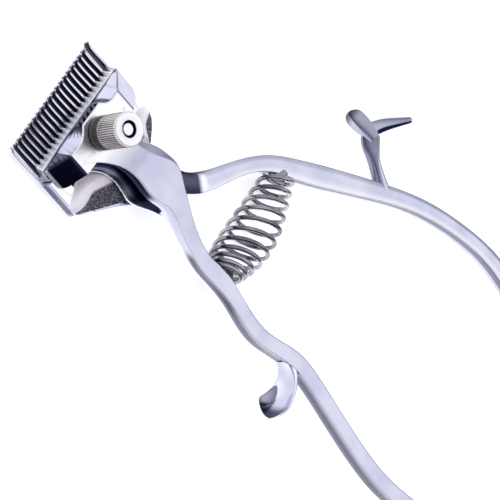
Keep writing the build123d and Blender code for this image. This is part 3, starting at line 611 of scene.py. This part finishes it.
def bridge():
    """One shell of sections in y and z, stepped along x: the front face up to the roof's lip, the roof, the
    rear wall and the hollow below. Outside the middle the lip is scooped back, which leaves a leaning pad;
    beyond the roof the top falls in a straight slope to each foot."""
    x = np.concatenate([
        np.linspace(FOOT_LEFT, -6.0, 130), np.linspace(-5.9, 2.9, 40), np.linspace(3.0, FOOT_RIGHT, 140),
    ])
    fall_right = FOOT_Z + (FOOT_RIGHT - x) * (ROOF_TOP - FOOT_Z) / (FOOT_RIGHT - ROOF_RIGHT)
    fall_left = FOOT_Z + (x - FOOT_LEFT) * (ROOF_TOP - FOOT_Z) / (ROOF_LEFT - FOOT_LEFT)
    roof = ROOF_TOP - 0.09 - 0.24 * smooth_step(np.abs(x), 4.0, 12.5)
    top_z = np.maximum(lower_of(lower_of(roof, fall_right), fall_left), FOOT_Z - 0.05)
    t_right = np.clip((x - 3.0) / 5.0, 0, 1)
    t_left = np.clip((-6.1 - x) / 4.2, 0, 1)
    bay = 1 - (1 - np.maximum(t_right, t_left)) ** 2
    slope = np.maximum(np.clip((x - ROOF_RIGHT) / (FOOT_RIGHT - ROOF_RIGHT), 0, 1),
                       np.clip((ROOF_LEFT - x) / (ROOF_LEFT - FOOT_LEFT), 0, 1))
    low_y = -5.7 + 0.5 * smooth_step(x, 6.0, FOOT_RIGHT)
    top_y = -6.25 + 2.75 * bay
    top_y = top_y + (low_y + 0.15 - top_y) * slope
    foot_z = np.full_like(x, 4.45) + 0.25 * smooth_step(slope, 0.7, 1.0)
    lip = np.minimum(0.45, (top_z - foot_z) * 0.4)
    t = np.linspace(0, 1, 16)[None, :]
    swell = np.sin(np.pi * t) * (bay * (1 - slope))[:, None] * 0.12
    face_y = low_y[:, None] + (top_y - low_y)[:, None] * t + swell
    face_z = foot_z[:, None] + (top_z - lip - foot_z)[:, None] * t
    turn = np.linspace(0.2, np.pi / 2, 4)[None, :]
    roll_y = top_y[:, None] + lip[:, None] * (1 - np.cos(turn))
    roll_z = top_z[:, None] - lip[:, None] * (1 - np.sin(turn))
    corner = 2.6
    left_over = np.clip(corner - (top_z - FOOT_Z), 0, corner)
    rear_arc = np.sqrt(np.clip(corner**2 - left_over**2, 0, None))
    rear = BRIDGE_REAR - corner + rear_arc - 0.7 * smooth_step(x, 11, 16)
    rear_y = np.stack([rear - 0.35, rear - 0.1, rear, rear, rear - 1.2], axis=1)
    under = np.maximum(top_z - 1.6, foot_z)
    rear_z = np.stack([top_z, top_z - 0.1, top_z - 0.35, under, under], axis=1)
    in_y = np.stack([np.maximum(top_y, low_y) + 1.2, low_y + 0.9], axis=1)
    in_z = np.stack([under, foot_z], axis=1)
    y = np.concatenate([face_y, roll_y, rear_y, in_y], axis=1)
    z = np.concatenate([face_z, roll_z, rear_z, in_z], axis=1)
    z = np.maximum(z, foot_z[:, None])
    points, faces = skin(np.stack([np.repeat(x[:, None], y.shape[1], axis=1), y, z], axis=-1))
    # Painted light on the bridge: painted dark reflections over the front face, darkest and streaked across
    # the middle and dark at its foot; a painted white highlight over the roof; painted dark reflections on
    # the slopes over the cheeks, the right one painted light again at its foot's rim; painted shade on the
    # rear wall and the hollow underneath.
    middle = 1 - smooth_step(bay, 0.0, 0.75)
    reflection_streak = 0.5 + 0.5 * np.sin(x * 1.3)
    face_tone = 0.54 - middle * (0.46 - 0.16 * reflection_streak)
    face_tone = face_tone[:, None] * smooth_step(t, 0.02, 0.16)
    cheek_right = smooth_step(x, ROOF_RIGHT - 0.1, ROOF_RIGHT + 0.3)
    cheek_left = smooth_step(-x, -ROOF_LEFT - 0.1, -ROOF_LEFT + 0.3)
    rim = smooth_step(x, FOOT_RIGHT - 0.9, FOOT_RIGHT - 0.6)
    top_tone = 1.0 - 0.97 * cheek_right * (1 - rim) - 0.52 * cheek_left
    face_tone = face_tone * (1 - cheek_right[:, None] * 0.6 * (1 - rim[:, None]))
    ones = np.ones((len(x), 1))
    tops = np.repeat(top_tone[:, None], 7, axis=1)
    tone = np.concatenate([face_tone, tops, ones * 0.3, np.repeat(ones * 0.05, 3, axis=1)], axis=1)
    return points, faces, np.clip(tone, 0, 1).reshape(-1)


# ---------- top frame: lobe and fixed grip ----------
GRIP_TABLE_END = 154.0
GRIP_END_LENGTH = 2.4


def fixed_grip():
    """Sections across x at each y. Round a section: top face, crease and far facet, far wall, underside,
    near rim, hollow near side and the top's near edge."""
    table = np.array([
        # y, near top, crease, far top, near rim, top z, rim z, underside z
        (1.0, 11.6, -11.2, -11.9, 12.6, 9.97, 8.0, 8.5),
        (2.6, 9.2, -9.4, -10.6, 11.8, 9.98, 7.0, 8.5),
        (5.0, 6.6, -7.2, -8.2, 9.9, 10.0, 6.2, 8.5),
        (8.0, 4.4, -5.9, -7.4, 7.3, 10.6, 6.0, 8.5),
        (11.0, 3.0, -5.6, -8.0, 5.9, 11.5, 6.0, 8.5),
        (14.0, 2.4, -6.1, -9.4, 5.5, 12.4, 6.0, 8.5),
        (17.5, 2.4, -7.6, -10.6, 5.9, 12.9, 6.0, 8.5),
        (21.0, 2.8, -9.4, -11.1, 6.3, 13.0, 6.1, 8.6),
        (25.0, 2.5, -9.8, -10.4, 4.9, 13.0, 6.3, 8.7),
        (29.0, 1.4, -7.6, -8.1, 2.9, 13.0, 6.5, 8.8),
        (33.0, 1.8, -5.1, -5.5, 1.9, 13.0, 7.0, 8.9),
        (38.0, 3.8, -2.2, -2.6, 3.0, 13.0, 7.2, 8.9),
        (43.0, 5.4, 0.2, -0.2, 4.5, 13.0, 7.2, 8.2),
        (50.0, 6.7, 1.6, 1.2, 5.9, 13.0, 7.2, 7.2),
        (56.0, 6.5, 1.0, 0.6, 5.8, 13.0, 7.1, 7.0),
        (64.0, 6.7, 2.2, 1.8, 6.2, 13.0, 7.0, 6.8),
        (71.0, 8.0, 3.6, 3.1, 7.5, 13.0, 6.9, 6.6),
        (78.0, 8.3, 3.9, 3.4, 7.9, 13.0, 6.9, 6.6),
        (85.0, 6.7, 2.2, 1.7, 6.3, 13.0, 6.9, 6.6),
        (91.5, 5.1, 0.5, 0.0, 4.8, 13.0, 6.9, 6.6),
        (99.0, 5.2, 0.6, 0.1, 4.9, 13.0, 6.9, 6.6),
        (110.0, 6.8, 2.3, 1.8, 6.5, 13.0, 6.8, 6.6),
        (124.0, 9.0, 4.6, 4.1, 8.8, 13.0, 6.8, 6.6),
        (139.0, 10.1, 5.6, 5.1, 9.9, 13.0, 6.8, 6.6),
        (GRIP_TABLE_END, 8.3, 3.4, 2.9, 8.1, 13.0, 6.8, 6.6),
    ])
    end = FRAME_HIGH[1] - 0.05
    bend = end - GRIP_END_LENGTH
    turn = np.linspace(0.12, np.pi / 2, 12)
    y = np.concatenate([np.linspace(1.0, bend, 250), end - GRIP_END_LENGTH * (1 - np.sin(turn))])
    rows = spline(table[:, 0], table[:, 1:], np.minimum(y, GRIP_TABLE_END))
    near, crease, far, rim, top, rim_z, under = rows.T
    over = np.clip((y - bend) / GRIP_END_LENGTH, 0, 1)
    shrink = 1 - np.sqrt(np.clip(1 - over**2, 0, 1))
    middle, mid_z = (near + far) / 2, (top + under) / 2
    facet = 0.25 + 0.9 * smooth_step(crease - far, 0.5, 2.4)
    hollow = 0.5 + 1.0 * (1 - smooth_step(y, 24.0, 34.0)) - 0.2 * smooth_step(y, 60, 90)
    wide = rim - near
    inner = np.minimum(rim - 1.3, near - 0.5)
    loop = [
        (near, top),
        (near - 0.1 + wide * 0.06, top - 0.8),
        (near + wide * 0.35 - hollow, (top * 0.52 + rim_z * 0.48)),
        (rim - hollow * 0.55, rim_z + 1.5),
        (rim, rim_z + 0.9),
        (rim - 0.1, rim_z),
        (inner, rim_z),
        (inner - 0.15, under),
        (far + 0.45, under),
        (far, under + 0.6),
        (far, top - facet),
        (crease, top),
    ]
    narrow, thin = 1 - 0.86 * shrink, 1 - 0.6 * shrink
    loop = [(middle + (x - middle) * narrow, mid_z + (z - mid_z) * thin) for x, z in loop]
    corners = np.stack([np.stack([x, y, z], axis=-1) for x, z in loop], axis=1)
    radii = (0.28, 0.7, 2.2, 0.7, 0.45, 0.5, 0.3, 0.5, 0.4, 0.4, 0.35, 0.4)
    # Painted light round each section: a painted white highlight on the top face and the near rim; painted
    # dark reflections down the hollow near side, with a painted bright band from y 24 to 45 and lighter again
    # past y 62; painted shade under the rim, on the underside and the far wall; the far facet painted light
    # near the front and dark behind y 25.
    one = np.ones(len(y))
    painted_bright_band = smooth_step(y, 22.5, 27.0) * (1 - smooth_step(y, 42.0, 47.0))
    deep = 0.02 + 0.9 * painted_bright_band + 0.25 * smooth_step(y, 62.0, 70.0)
    upper = 0.15 + 0.8 * painted_bright_band + 0.3 * smooth_step(y, 62.0, 70.0)
    facet_tone = 1.0 - 0.8 * smooth_step(y, 24.0, 27.0)
    top_tone = 1.0 - 0.25 * smooth_step(y, 4.0, 14.0)
    tones = np.stack([
        top_tone, upper * 0.75, deep * 0.75, 0.3 + 0.4 * painted_bright_band, one, one * 0.8, one * 0.2, one * 0.15,
        one * 0.2, one * 0.1, facet_tone * 0.7, top_tone,
    ], axis=1)
    return toned(skin(rounded_loop(corners, radii, 6)), tones, 6)


# Painted light: a white highlight on the rim, painted shade in the bowl towards the tip.
thumb_rest = leaf([
    ((3.4, 90.0, 9.8), (0.0, 0.1, 1.0), 3.2, 0.0, 4.2),
    ((5.2, 93.8, 9.4), (0.0, 0.1, 1.0), 3.5, 0.5, 3.0),
    ((8.0, 96.8, 8.6), (0.0, 0.15, 1.0), 4.5, 1.5, 2.0),
    ((11.6, 98.6, 7.6), (0.0, 0.2, 1.0), 5.8, 2.5, 1.5),
    ((15.4, 99.0, 7.0), (0.0, 0.25, 1.0), 6.8, 3.2, 1.4),
    ((18.8, 98.2, 6.9), (0.0, 0.25, 1.0), 6.0, 3.0, 1.3),
], tones=(1.0, 0.72, 0.08))
frame_shells = [bridge(), fixed_grip(), thumb_rest]
solid_piece("frame_and_fixed_grip", frame_shells, chrome, "frame", ["top_frame"])

# ---------- lever ----------
LEVER_TOP = BUSH_HIGH[2]
LEVER_ROOT_LOW = BUSH_LOW[2]
LEVER_END_LENGTH = 2.6


def lever_bar():
    """Sections square to the lever's line in plan. The top is creased along a ridge, and the inner wall is
    hollow."""
    table = np.array([
        # x, y, inner half, outer half, bottom z, top lip
        (-4.0, 10.5, 2.7, 3.8, 4.85, 0.0),
        (-6.6, 17.0, 2.4, 3.5, 4.8, 0.0),
        (-8.9, 23.8, 2.6, 3.4, 4.8, 0.0),
        (-10.6, 30.2, 2.9, 3.3, 4.2, 0.1),
        (-15.6, 35.6, 3.4, 3.0, 3.4, 0.3),
        (-23.2, 40.3, 3.0, 2.7, 3.05, 0.45),
        (-31.4, 45.2, 2.5, 2.4, 3.0, 0.4),
        (-38.4, 51.6, 2.6, 2.6, 3.0, 0.25),
        (-43.6, 59.6, 3.1, 3.2, 3.0, 0.2),
        (-50.2, 70.0, 3.3, 3.3, 3.0, 0.25),
        (-57.0, 80.8, 3.0, 3.0, 3.0, 0.25),
        (-63.6, 91.6, 2.7, 2.7, 3.0, 0.25),
        (-69.4, 103.4, 2.5, 2.5, 3.0, 0.25),
        (-73.6, 117.0, 2.4, 2.4, 3.0, 0.25),
        (-75.6, 131.0, 2.5, 2.5, 3.0, 0.25),
        (-74.7, 143.6, 2.7, 2.7, 3.0, 0.25),
        (-74.3, 147.3, 2.7, 2.7, 3.0, 0.25),
    ])
    knots = np.concatenate([[0], np.cumsum(np.linalg.norm(np.diff(table[:, :2], axis=0), axis=1))])
    total = knots[-1]
    bend = total - LEVER_END_LENGTH
    turn = np.linspace(0.12, np.pi / 2, 12)
    at = np.concatenate([np.linspace(0, bend, 240), total - LEVER_END_LENGTH * (1 - np.sin(turn))])
    rows = spline(knots, table, at)
    path = np.concatenate([rows[:, :2], np.zeros((len(at), 1))], axis=1)
    across = level_across(path)
    over = np.clip((at - bend) / LEVER_END_LENGTH, 0, 1)
    round_end = np.sqrt(np.clip(1 - over**2, 0.02, 1))
    inner, outer, low = rows[:, 2], rows[:, 3], rows[:, 4]
    top = np.full_like(low, LEVER_TOP)
    middle = (top + low) / 2
    lip = rows[:, 5]
    loop = [
        (inner, top - 0.15 - lip),
        (inner - 0.15, top - 0.9 - lip),
        (inner - 0.55, (top + low) / 2 - 0.2),
        (inner - 0.05, low + 0.8),
        (inner - 0.35, low),
        (-outer + 0.5, low),
        (-outer, low + 0.6),
        (-outer, top - 0.5 - lip * 0.6),
        (-outer * 0.25, top),
    ]
    loop = [(u * round_end, middle + (w - middle) * (0.4 + 0.6 * round_end)) for u, w in loop]
    up = np.array([0, 0, 1.0])
    corners = np.stack([path + across * u[:, None] + up * w[:, None] for u, w in loop], axis=1)
    radii = (0.35, 0.5, 1.6, 0.6, 0.4, 0.5, 0.5, 0.5, 1.2)
    # Painted light round each section: a recess painted dark on the top up to y 35, with a painted highlight
    # along its rear edge; painted shade on the low and outer corners up to y 31; painted dark reflections on
    # the inner wall, the hollow, the underside and the outer wall, and on the outer facet near the root; a
    # painted highlight on the inner top edge further out.
    one = np.ones(len(at))
    root = smooth_step(path[:, 1], 30.2, 31.6)
    outer_face = 0.1 + 0.85 * smooth_step(path[:, 1], 33.0, 40.5)
    painted_pocket_shade = 1 - smooth_step(path[:, 1], 35.0, 36.0)
    rim = smooth_step(path[:, 1], 35.0, 35.8) * (1 - smooth_step(path[:, 1], 36.2, 37.4))
    tones = np.stack([
        0.9 - 0.87 * painted_pocket_shade, 0.05 * one, 0.30 * one, 0.7 * root, 0.6 * root, 0.2 * one, 0.25 * one,
        outer_face * root * 0.75, 0.75 - 0.6 * painted_pocket_shade + 0.25 * rim,
    ], axis=1)
    return toned(skin(rounded_loop(corners, radii, 6)), tones, 6)


def lever_hub():
    """The hub round the bush and the nose round the drive pin, two rings of the root's thickness."""
    def ring(middle, outer, inner, sides=72):
        z0, z1, e = LEVER_ROOT_LOW, LEVER_TOP, 0.2
        line = np.array([
            (inner, z0), (outer - e, z0), (outer, z0 + e), (outer, z1 - e), (outer - e, z1), (inner, z1),
        ])
        angle = np.linspace(0, TURN, sides, endpoint=False)
        x = line[None, :, 0] * np.cos(angle)[:, None] + middle[0]
        y = line[None, :, 0] * np.sin(angle)[:, None] + middle[1]
        z = np.broadcast_to(line[None, :, 1], x.shape)
        return ring_skin(np.stack([x, y, z], axis=-1))
    pin_low, pin_high = node_box("drive_pin")
    pin = ((pin_low + pin_high) / 2)[:2]
    hub_radius = BUSH_HIGH[0]
    return [ring((0, 0), 4.5, hub_radius), ring(pin, 2.0, 1.5)]


# The finger rest's leaves: painted highlights on their rims, painted shade on their faces and bowls.
finger_stem = leaf([
    ((-61.6, 90.4, 5.6), (0.0, 0.0, 1.0), 2.4, 0.0, 4.4),
    ((-64.4, 84.2, 5.9), (0.0, 0.1, 1.0), 2.2, 0.0, 3.2),
    ((-67.0, 79.0, 6.3), (-0.2, 0.3, 0.9), 2.2, 0.2, 2.4),
    ((-69.2, 75.6, 6.6), (-0.4, 0.6, 0.69), 2.8, 0.4, 2.0),
    ((-72.2, 72.2, 7.1), (-0.4, 0.6, 0.69), 3.0, 0.6, 1.6),
], tones=(0.8, 0.35, 0.3))
finger_left = leaf([
    ((-70.5, 74.5, 8.5), (-0.75, -0.55, 0.3), 1.6, 0.2, 1.6),
    ((-71.5, 71.3, 6.7), (-0.72, -0.60, 0.3), 2.6, 0.7, 1.5),
    ((-72.1, 68.1, 4.7), (-0.66, -0.60, 0.42), 3.1, 1.2, 1.4),
    ((-72.7, 65.1, 2.7), (-0.60, -0.60, 0.5), 2.9, 1.3, 1.3),
], tones=(0.95, 0.45, 0.2))
finger_right = leaf([
    ((-70.4, 72.4, 5.4), (-0.70, -0.62, 0.2), 2.2, 0.2, 1.6),
    ((-73.8, 72.9, 8.2), (-0.70, -0.66, 0.1), 2.3, -0.5, 1.4),
    ((-76.8, 74.6, 12.0), (-0.70, -0.70, 0.0), 1.8, -0.6, 1.2),
    ((-79.6, 76.8, 16.6), (-0.70, -0.70, 0.0), 1.0, -0.3, 0.9),
], tones=(1.0, 0.6, 0.5))
lever_shells = [lever_bar(), *lever_hub(), finger_stem, finger_left, finger_right]
solid_piece("lever", lever_shells, chrome, "lever", ["lever_handle"])

# ---------- tension nut and stud ----------
NUT_RADIUS = 5.05


def knurled_nut():
    """The nut's wall: its radius dips by |cos| once per groove between two plain bands."""
    grooves, sides = 48, 48 * 8
    angle = np.linspace(0, TURN, sides, endpoint=False)
    z0, z1 = NUT_LOW[2], NUT_HIGH[2]
    line = np.array([
        # radius, height, 1 where the knurl is cut
        (2.2, z0 + 3.0, 0), (3.85, z0 + 2.9, 0), (3.85, z0 + 0.05, 0), (4.6, z0, 0), (4.8, z0 + 0.1, 0),
        (4.95, z0 + 0.35, 0), (4.95, z0 + 0.8, 0), (5.0, z0 + 1.1, 1), (5.0, z0 + 3.5, 1),
        (4.96, z0 + 3.62, 0), (4.96, z0 + 3.8, 0), (NUT_RADIUS, z0 + 3.95, 1), (NUT_RADIUS, z1 - 0.95, 1),
        (4.94, z1 - 0.8, 0), (4.9, z1 - 0.62, 0), (NUT_RADIUS, z1 - 0.5, 0), (NUT_RADIUS, z1 - 0.3, 0),
        (4.93, z1 - 0.12, 0), (4.6, z1 - 0.1, 0), (4.5, z1 - 1.8, 0), (2.3, z1 - 1.85, 0),
    ])
    groove = np.abs(np.cos(angle * grooves / 2)) ** 1.5
    ridge = 0.16 * (1 - groove)
    radius = line[:, :1] - line[:, 2:] * ridge[None, :]
    z = np.repeat(line[:, 1:2], sides, axis=1)
    points, faces = ring_skin(np.stack([radius * np.cos(angle), radius * np.sin(angle), z], axis=-1))
    # Painted shade: the nut's lower band is painted dark, and the knurl's grooves darker than its ridges.
    collar_shade = 0.2 + 0.8 * smooth_step(line[:, 1:2], z0 + 3.5, z0 + 3.9)
    tone = 0.78 * collar_shade * (1 - 0.85 * line[:, 2:] * smooth_step(1 - groove, 0.25, 0.9)[None, :])
    return points, faces, tone.reshape(-1)


solid_piece("nut_knurl", [knurled_nut()], nickel, "nut", ["tension_nut"], crease=0.9)


def end_ring():
    """The nut's bright end face: a dished ring with a rounded lip and a stepped mouth."""
    z1 = NUT_HIGH[2]
    line = np.array([
        (4.86, z1 - 0.3), (4.86, z1 - 0.1), (4.72, z1), (2.7, z1), (2.56, z1 - 0.06), (2.42, z1 - 0.2),
        (2.4, z1 - 1.4), (2.2, z1 - 1.5), (2.2, z1 - 1.9), (4.5, z1 - 1.9),
    ])
    angle = np.linspace(0, TURN, 120, endpoint=False)[:, None]
    x, y = line[None, :, 0] * np.cos(angle), line[None, :, 0] * np.sin(angle)
    points, faces = ring_skin(np.stack([x, y, np.broadcast_to(line[None, :, 1], x.shape)], axis=-1))
    # Painted light: a white highlight on the lip and the flat face, painted shade down the mouth.
    tone = np.broadcast_to(np.array([0.3, 0.7, 1, 1, 0.6, 0.05, 0.0, 0.0, 0.0, 0.0]), x.shape)
    return points, faces, tone.reshape(-1)


solid_piece("nut_end_face", [end_ring()], nickel_face, "nut")
stud_top = STUD_HIGH[2]


def stud_profile():
    """The stud in one turned outline, with fine thread rings along its upper part."""
    z = np.arange(LEVER_TOP + 0.3, stud_top - 0.6, 0.35)
    rings = np.stack([2.05 - 0.14 * (np.arange(len(z)) % 2), z], axis=1)
    low = [
        (0.02, 1.3), (4.0, 1.3), (3.9, 1.4), (2.5, 1.4), (2.5, COMB_TOP), (3.5, COMB_TOP + 0.02), (3.5, 4.7),
        (2.5, 4.72), (2.5, LEVER_TOP + 0.1),
    ]
    high = [
        (2.0, stud_top - 0.8), (1.95, stud_top - 0.4), (1.8, stud_top - 0.12), (1.68, stud_top - 0.02),
        (1.5, stud_top), (0.02, stud_top),
    ]
    return np.array(low + rings.tolist() + high)


stud_head = turned([(0.02, 0.2), (3.9, 0.2), (4.0, 0.3), (4.0, 1.32), (3.9, 1.4), (0.02, 1.4)])
stud_shape = stud_profile()
stud_points, stud_faces = turned(stud_shape)
# Painted light: the shank and thread rings are painted dark, the middle of each end white.
stud_tone = np.repeat(np.where(stud_shape[:, 0] < 1.7, 1.0, 0.0), TURNED_SIDES)
stud_shells = [(stud_points, stud_faces, stud_tone), stud_head]
solid_piece("stud", stud_shells, nickel_face, "frame", ["pivot_stud"])

# ---------- springs ----------
FIXED_SEAT = np.array([0.7, 57.8, 9.7])
LEVER_SEAT = np.array([-39.6, 56.4, 5.5])
spring_axis = (FIXED_SEAT - LEVER_SEAT) / np.linalg.norm(FIXED_SEAT - LEVER_SEAT)


def coil(start, axis, length, shape_at, turns, wire_radius, phase, per_turn=44, sides=10, bow=0.0,
         fan=(0.0, 0.0)):
    """A wire of round section along a helix. shape_at gives the radius and the share of the length at each
    share of the turns. The line of centres bows towards +Y by bow*sin(pi*t), and the turns fan: their own
    axis leans to +Y by a share that runs from fan[0] to fan[1]."""
    count = int(turns * per_turn)
    t = np.linspace(0, 1, count)
    radius, climb = shape_at(t)
    lean = np.array([0.0, 1.0, 0.0]) if abs(axis[2]) < 0.9 else np.zeros(3)
    own = np.asarray(axis, float) + lean * (fan[0] + (fan[1] - fan[0]) * t)[:, None]
    own /= np.linalg.norm(own, axis=1, keepdims=True)
    guide = (0, 0, 1.0) if abs(axis[2]) < 0.9 else (1.0, 0, 0)
    side = np.cross(own, guide)
    side /= np.linalg.norm(side, axis=1, keepdims=True)
    other = np.cross(own, side)
    q = (phase + TURN * turns * t)[:, None]
    centre = start + np.asarray(axis, float) * (climb * length)[:, None]
    centre = centre + lean * (bow * np.sin(np.pi * climb))[:, None]
    path = centre + (side * np.cos(q) + other * np.sin(q)) * radius[:, None]
    run = np.gradient(path, axis=0)
    run /= np.linalg.norm(run, axis=1, keepdims=True)
    outward = side * np.cos(q) + other * np.sin(q)
    outward = outward - run * np.sum(outward * run, axis=1, keepdims=True)
    outward /= np.linalg.norm(outward, axis=1, keepdims=True)
    upward = np.cross(run, outward)
    a = np.linspace(0, TURN, sides, endpoint=False)[None, :, None]
    taper = np.minimum(1, 0.55 + 3.0 * np.minimum(t, 1 - t) * turns)[:, None, None]
    loops = path[:, None] + (outward[:, None] * np.cos(a) + upward[:, None] * np.sin(a)) * wire_radius * taper
    return skin(loops)


def barrel(t):
    """Radius and place of the turns, from the lever's end to the fixed grip's, where they crowd together."""
    radius = [4.4, 5.1, 5.9, 6.7, 7.4, 7.6, 7.3, 6.4, 5.5, 4.6]
    place = [0, 0.125, 0.25, 0.385, 0.525, 0.665, 0.79, 0.885, 0.955, 1.0]
    knots = np.arange(len(radius)) / (len(radius) - 1)
    rows = spline(knots, np.stack([radius, place], axis=1), t)
    return rows[:, 0], rows[:, 1]


WIRE_RADIUS = 0.72
SEAT_GAP = 0.7
BARREL_TURNS = 11.0
spring_start = LEVER_SEAT + spring_axis * SEAT_GAP
spring_length = np.linalg.norm(FIXED_SEAT - LEVER_SEAT) - 2 * SEAT_GAP
spring_shell = coil(spring_start, spring_axis, spring_length, barrel, BARREL_TURNS, WIRE_RADIUS, 0.6,
                    bow=1.6, fan=(0.38, 0.12))
return_coil = solid_piece("return_coil", [spring_shell], wire, "frame", ["return_spring"],
                          crease=3.0)
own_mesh(return_coil)


def inner_coil(t):
    """The nut's spring: the same radius all the way, and an even climb."""
    return np.full(len(t), 2.85), t


tight_low, tight_high = node_box("tension_spring")
nut_spring_start = np.array([0, 0, tight_low[2] + 0.36])
nut_spring_length = tight_high[2] - tight_low[2] - 1.05
nut_spring = coil(nut_spring_start, (0, 0, 1), nut_spring_length, inner_coil, 5.0, 0.35, 0.0, 32, 8)
solid_piece("nut_coil", [nut_spring], wire, "frame", ["tension_spring"], crease=3.0)


def peg(seat, inward):
    """A spring peg: a low round head with a rounded edge, standing on its seat."""
    axis = np.asarray(inward, float)
    side = np.cross(axis, (0, 0, 1.0))
    side /= np.linalg.norm(side)
    other = np.cross(axis, side)
    line = np.array([
        (0.05, -1.8), (1.4, -1.8), (1.4, -0.05), (2.6, -0.05), (2.65, 0.1), (2.65, 2.6), (2.5, 2.95),
        (2.2, 3.15), (0.05, 3.2),
    ])
    angle = np.linspace(0, TURN, 64, endpoint=False)
    cosine, sine = np.cos(angle)[None, :, None], np.sin(angle)[None, :, None]
    round_side = side[None, None] * cosine + other[None, None] * sine
    points, faces = skin(seat + round_side * line[:, :1, None] + axis * line[:, 1:, None])
    # The whole peg is darkened towards its painted shade colour.
    return points, faces, np.full(len(points), 0.3)


fixed_peg = peg(FIXED_SEAT, -spring_axis)
lever_peg = peg(LEVER_SEAT, spring_axis)
solid_piece("fixed_peg", [fixed_peg], nickel_face, "frame", ["spring_peg_fixed"])
solid_piece("lever_peg", [lever_peg], nickel_face, "lever", ["spring_peg_lever"])

# ---------- screws up into the frame ----------
HEAD_RADIUS = 2.0


def frame_screw(place):
    """A screw from below: a plain round head and a short shank inside the casting."""
    profile = [
        (0.02, 0.6), (1.85, 0.6), (HEAD_RADIUS, 0.75), (HEAD_RADIUS, 2.05), (1.9, 2.1), (1.0, 2.15),
        (1.0, 6.3), (0.02, 6.4),
    ]
    return turned(profile, place, 48)


screw_low, screw_high = node_box("frame_screws")
screw_places = [screw_high[:2] - HEAD_RADIUS, screw_low[:2] + HEAD_RADIUS]
screws = [frame_screw(place) for place in screw_places]
solid_piece("frame_screws_below", screws, steel, "frame", ["frame_screws"])

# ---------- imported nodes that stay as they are, with a finish of their own ----------
kept = {
    "lever_bush": bronze, "drive_pin": steel, "drive_roller": steel, "nut_washer": steel,
    "roof_washer": steel, "comb_screws": steel, "dowel_pins": steel, "stop_pin": steel,
}
for node, shading in kept.items():
    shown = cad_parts[node].data
    shown.materials.clear()
    shown.materials.append(shading)

# ---------- floor, light and camera ----------
floor_mesh = bpy.data.meshes.new("floor")
reach = 3.0
floor_z = cad_box[0][2]
floor_corners = [(-reach, -reach, floor_z), (reach, -reach, floor_z), (reach, reach, floor_z),
                 (-reach, reach, floor_z)]
floor_mesh.from_pydata(floor_corners, [], [(0, 1, 2, 3)])
floor = bpy.data.objects.new("floor", floor_mesh)
bpy.context.scene.collection.objects.link(floor)
floor_finish = bpy.data.materials.new("pale_floor")
floor_shader = Shader(floor_finish)
drift = floor_shader.noise(6.0, 2.0)
floor_colour = floor_shader.mix(drift, (0.97, 0.97, 0.97, 1), (0.95, 0.95, 0.955, 1))
floor_values = {"Base Color": floor_colour, "Roughness": 0.9, "Specular IOR Level": 0.1,
                "Emission Color": (1, 1, 1, 1), "Emission Strength": 0.58}
floor_surface = floor_shader.node("ShaderNodeBsdfPrincipled", {}, floor_values)
floor_shader.node("ShaderNodeOutputMaterial", {}, {"Surface": floor_surface})
floor_mesh.materials.append(floor_finish)

world = bpy.data.worlds.new("studio")
bpy.context.scene.world = world
sky = Shader(world)
direction = sky.node("ShaderNodeTexCoord", out="Generated")


def toward(target, low, high):
    """0 to 1 as the direction comes near to a target direction."""
    unit = Vector(target).normalized()
    operands = {0: direction, 1: tuple(unit)}
    dot = sky.node("ShaderNodeVectorMath", {"operation": "DOT_PRODUCT"}, operands, out="Value")
    return sky.ramp(dot, low, high)


colour = sky.mix(toward((0, 0, 1), 0.05, 0.80), (0.30, 0.31, 0.38, 1), (0.86, 0.87, 0.96, 1))
patches = [
    # direction, where the patch begins and where it is full, colour
    ((-0.48, 0.42, 0.77), 0.90, 0.985, (1.08, 1.09, 1.16, 1)),
    ((0.84, 0.42, 0.34), 0.80, 0.90, (0.012, 0.016, 0.05, 1)),
    ((0.30, 0.94, 0.10), 0.86, 0.95, (0.03, 0.035, 0.08, 1)),
]
for target, low, high, patch_colour in patches:
    colour = sky.mix(toward(target, low, high), colour, patch_colour)
seen = sky.node("ShaderNodeLightPath", out="Is Camera Ray")
colour = sky.mix(seen, colour, (1, 1, 1, 1))
background = sky.node("ShaderNodeBackground", {}, {"Color": colour, "Strength": 1.0})
sky.node("ShaderNodeOutputWorld", {}, {"Surface": background})


def softbox(name, place, target, size, power):
    """A square soft light at a place in metres, facing a target. Polished metal doesn't mirror it."""
    lamp = bpy.data.lights.new(name, "AREA")
    lamp.shape = "RECTANGLE"
    lamp.size = lamp.size_y = size
    lamp.energy = power
    stand = bpy.data.objects.new(name, lamp)
    stand.location = place
    stand.visible_glossy = False
    stand.rotation_euler = (Vector(target) - Vector(place)).to_track_quat("-Z", "Y").to_euler()
    bpy.context.scene.collection.objects.link(stand)


LAMP_SIZE, LAMP_WATTS = 1.2, 9.0
tool_middle = (-0.02, 0.06, 0.0)
softbox("front_left", (-0.9, -0.5, 0.9), tool_middle, LAMP_SIZE, LAMP_WATTS)

# The camera's own axes, the point that it looks at, and the width that it sees there, in millimetres.
RIGHT = Vector((-0.4954, 0.5946, 0.6333))
UP = Vector((-0.7236, -0.6858, 0.0778))
BACK = Vector((0.4805, -0.4197, 0.77))
LOOK_AT = Vector((7.77, 43.21, 41.21)) * MM
DISTANCE = 1.5
SEEN_WIDTH = 139.66
SENSOR_WIDTH = 36.0
lens = bpy.data.cameras.new("view")
lens.sensor_width = SENSOR_WIDTH
lens.lens = DISTANCE / MM / SEEN_WIDTH * SENSOR_WIDTH
lens.clip_start, lens.clip_end = 0.05, 20.0
camera = bpy.data.objects.new("view", lens)
turned_axes = Matrix((RIGHT.normalized(), UP.normalized(), BACK.normalized())).transposed()
camera.matrix_world = Matrix.Translation(LOOK_AT + BACK.normalized() * DISTANCE) @ turned_axes.to_4x4()
bpy.context.scene.collection.objects.link(camera)
bpy.context.scene.camera = camera
bpy.context.scene.view_settings.view_transform = "Standard"
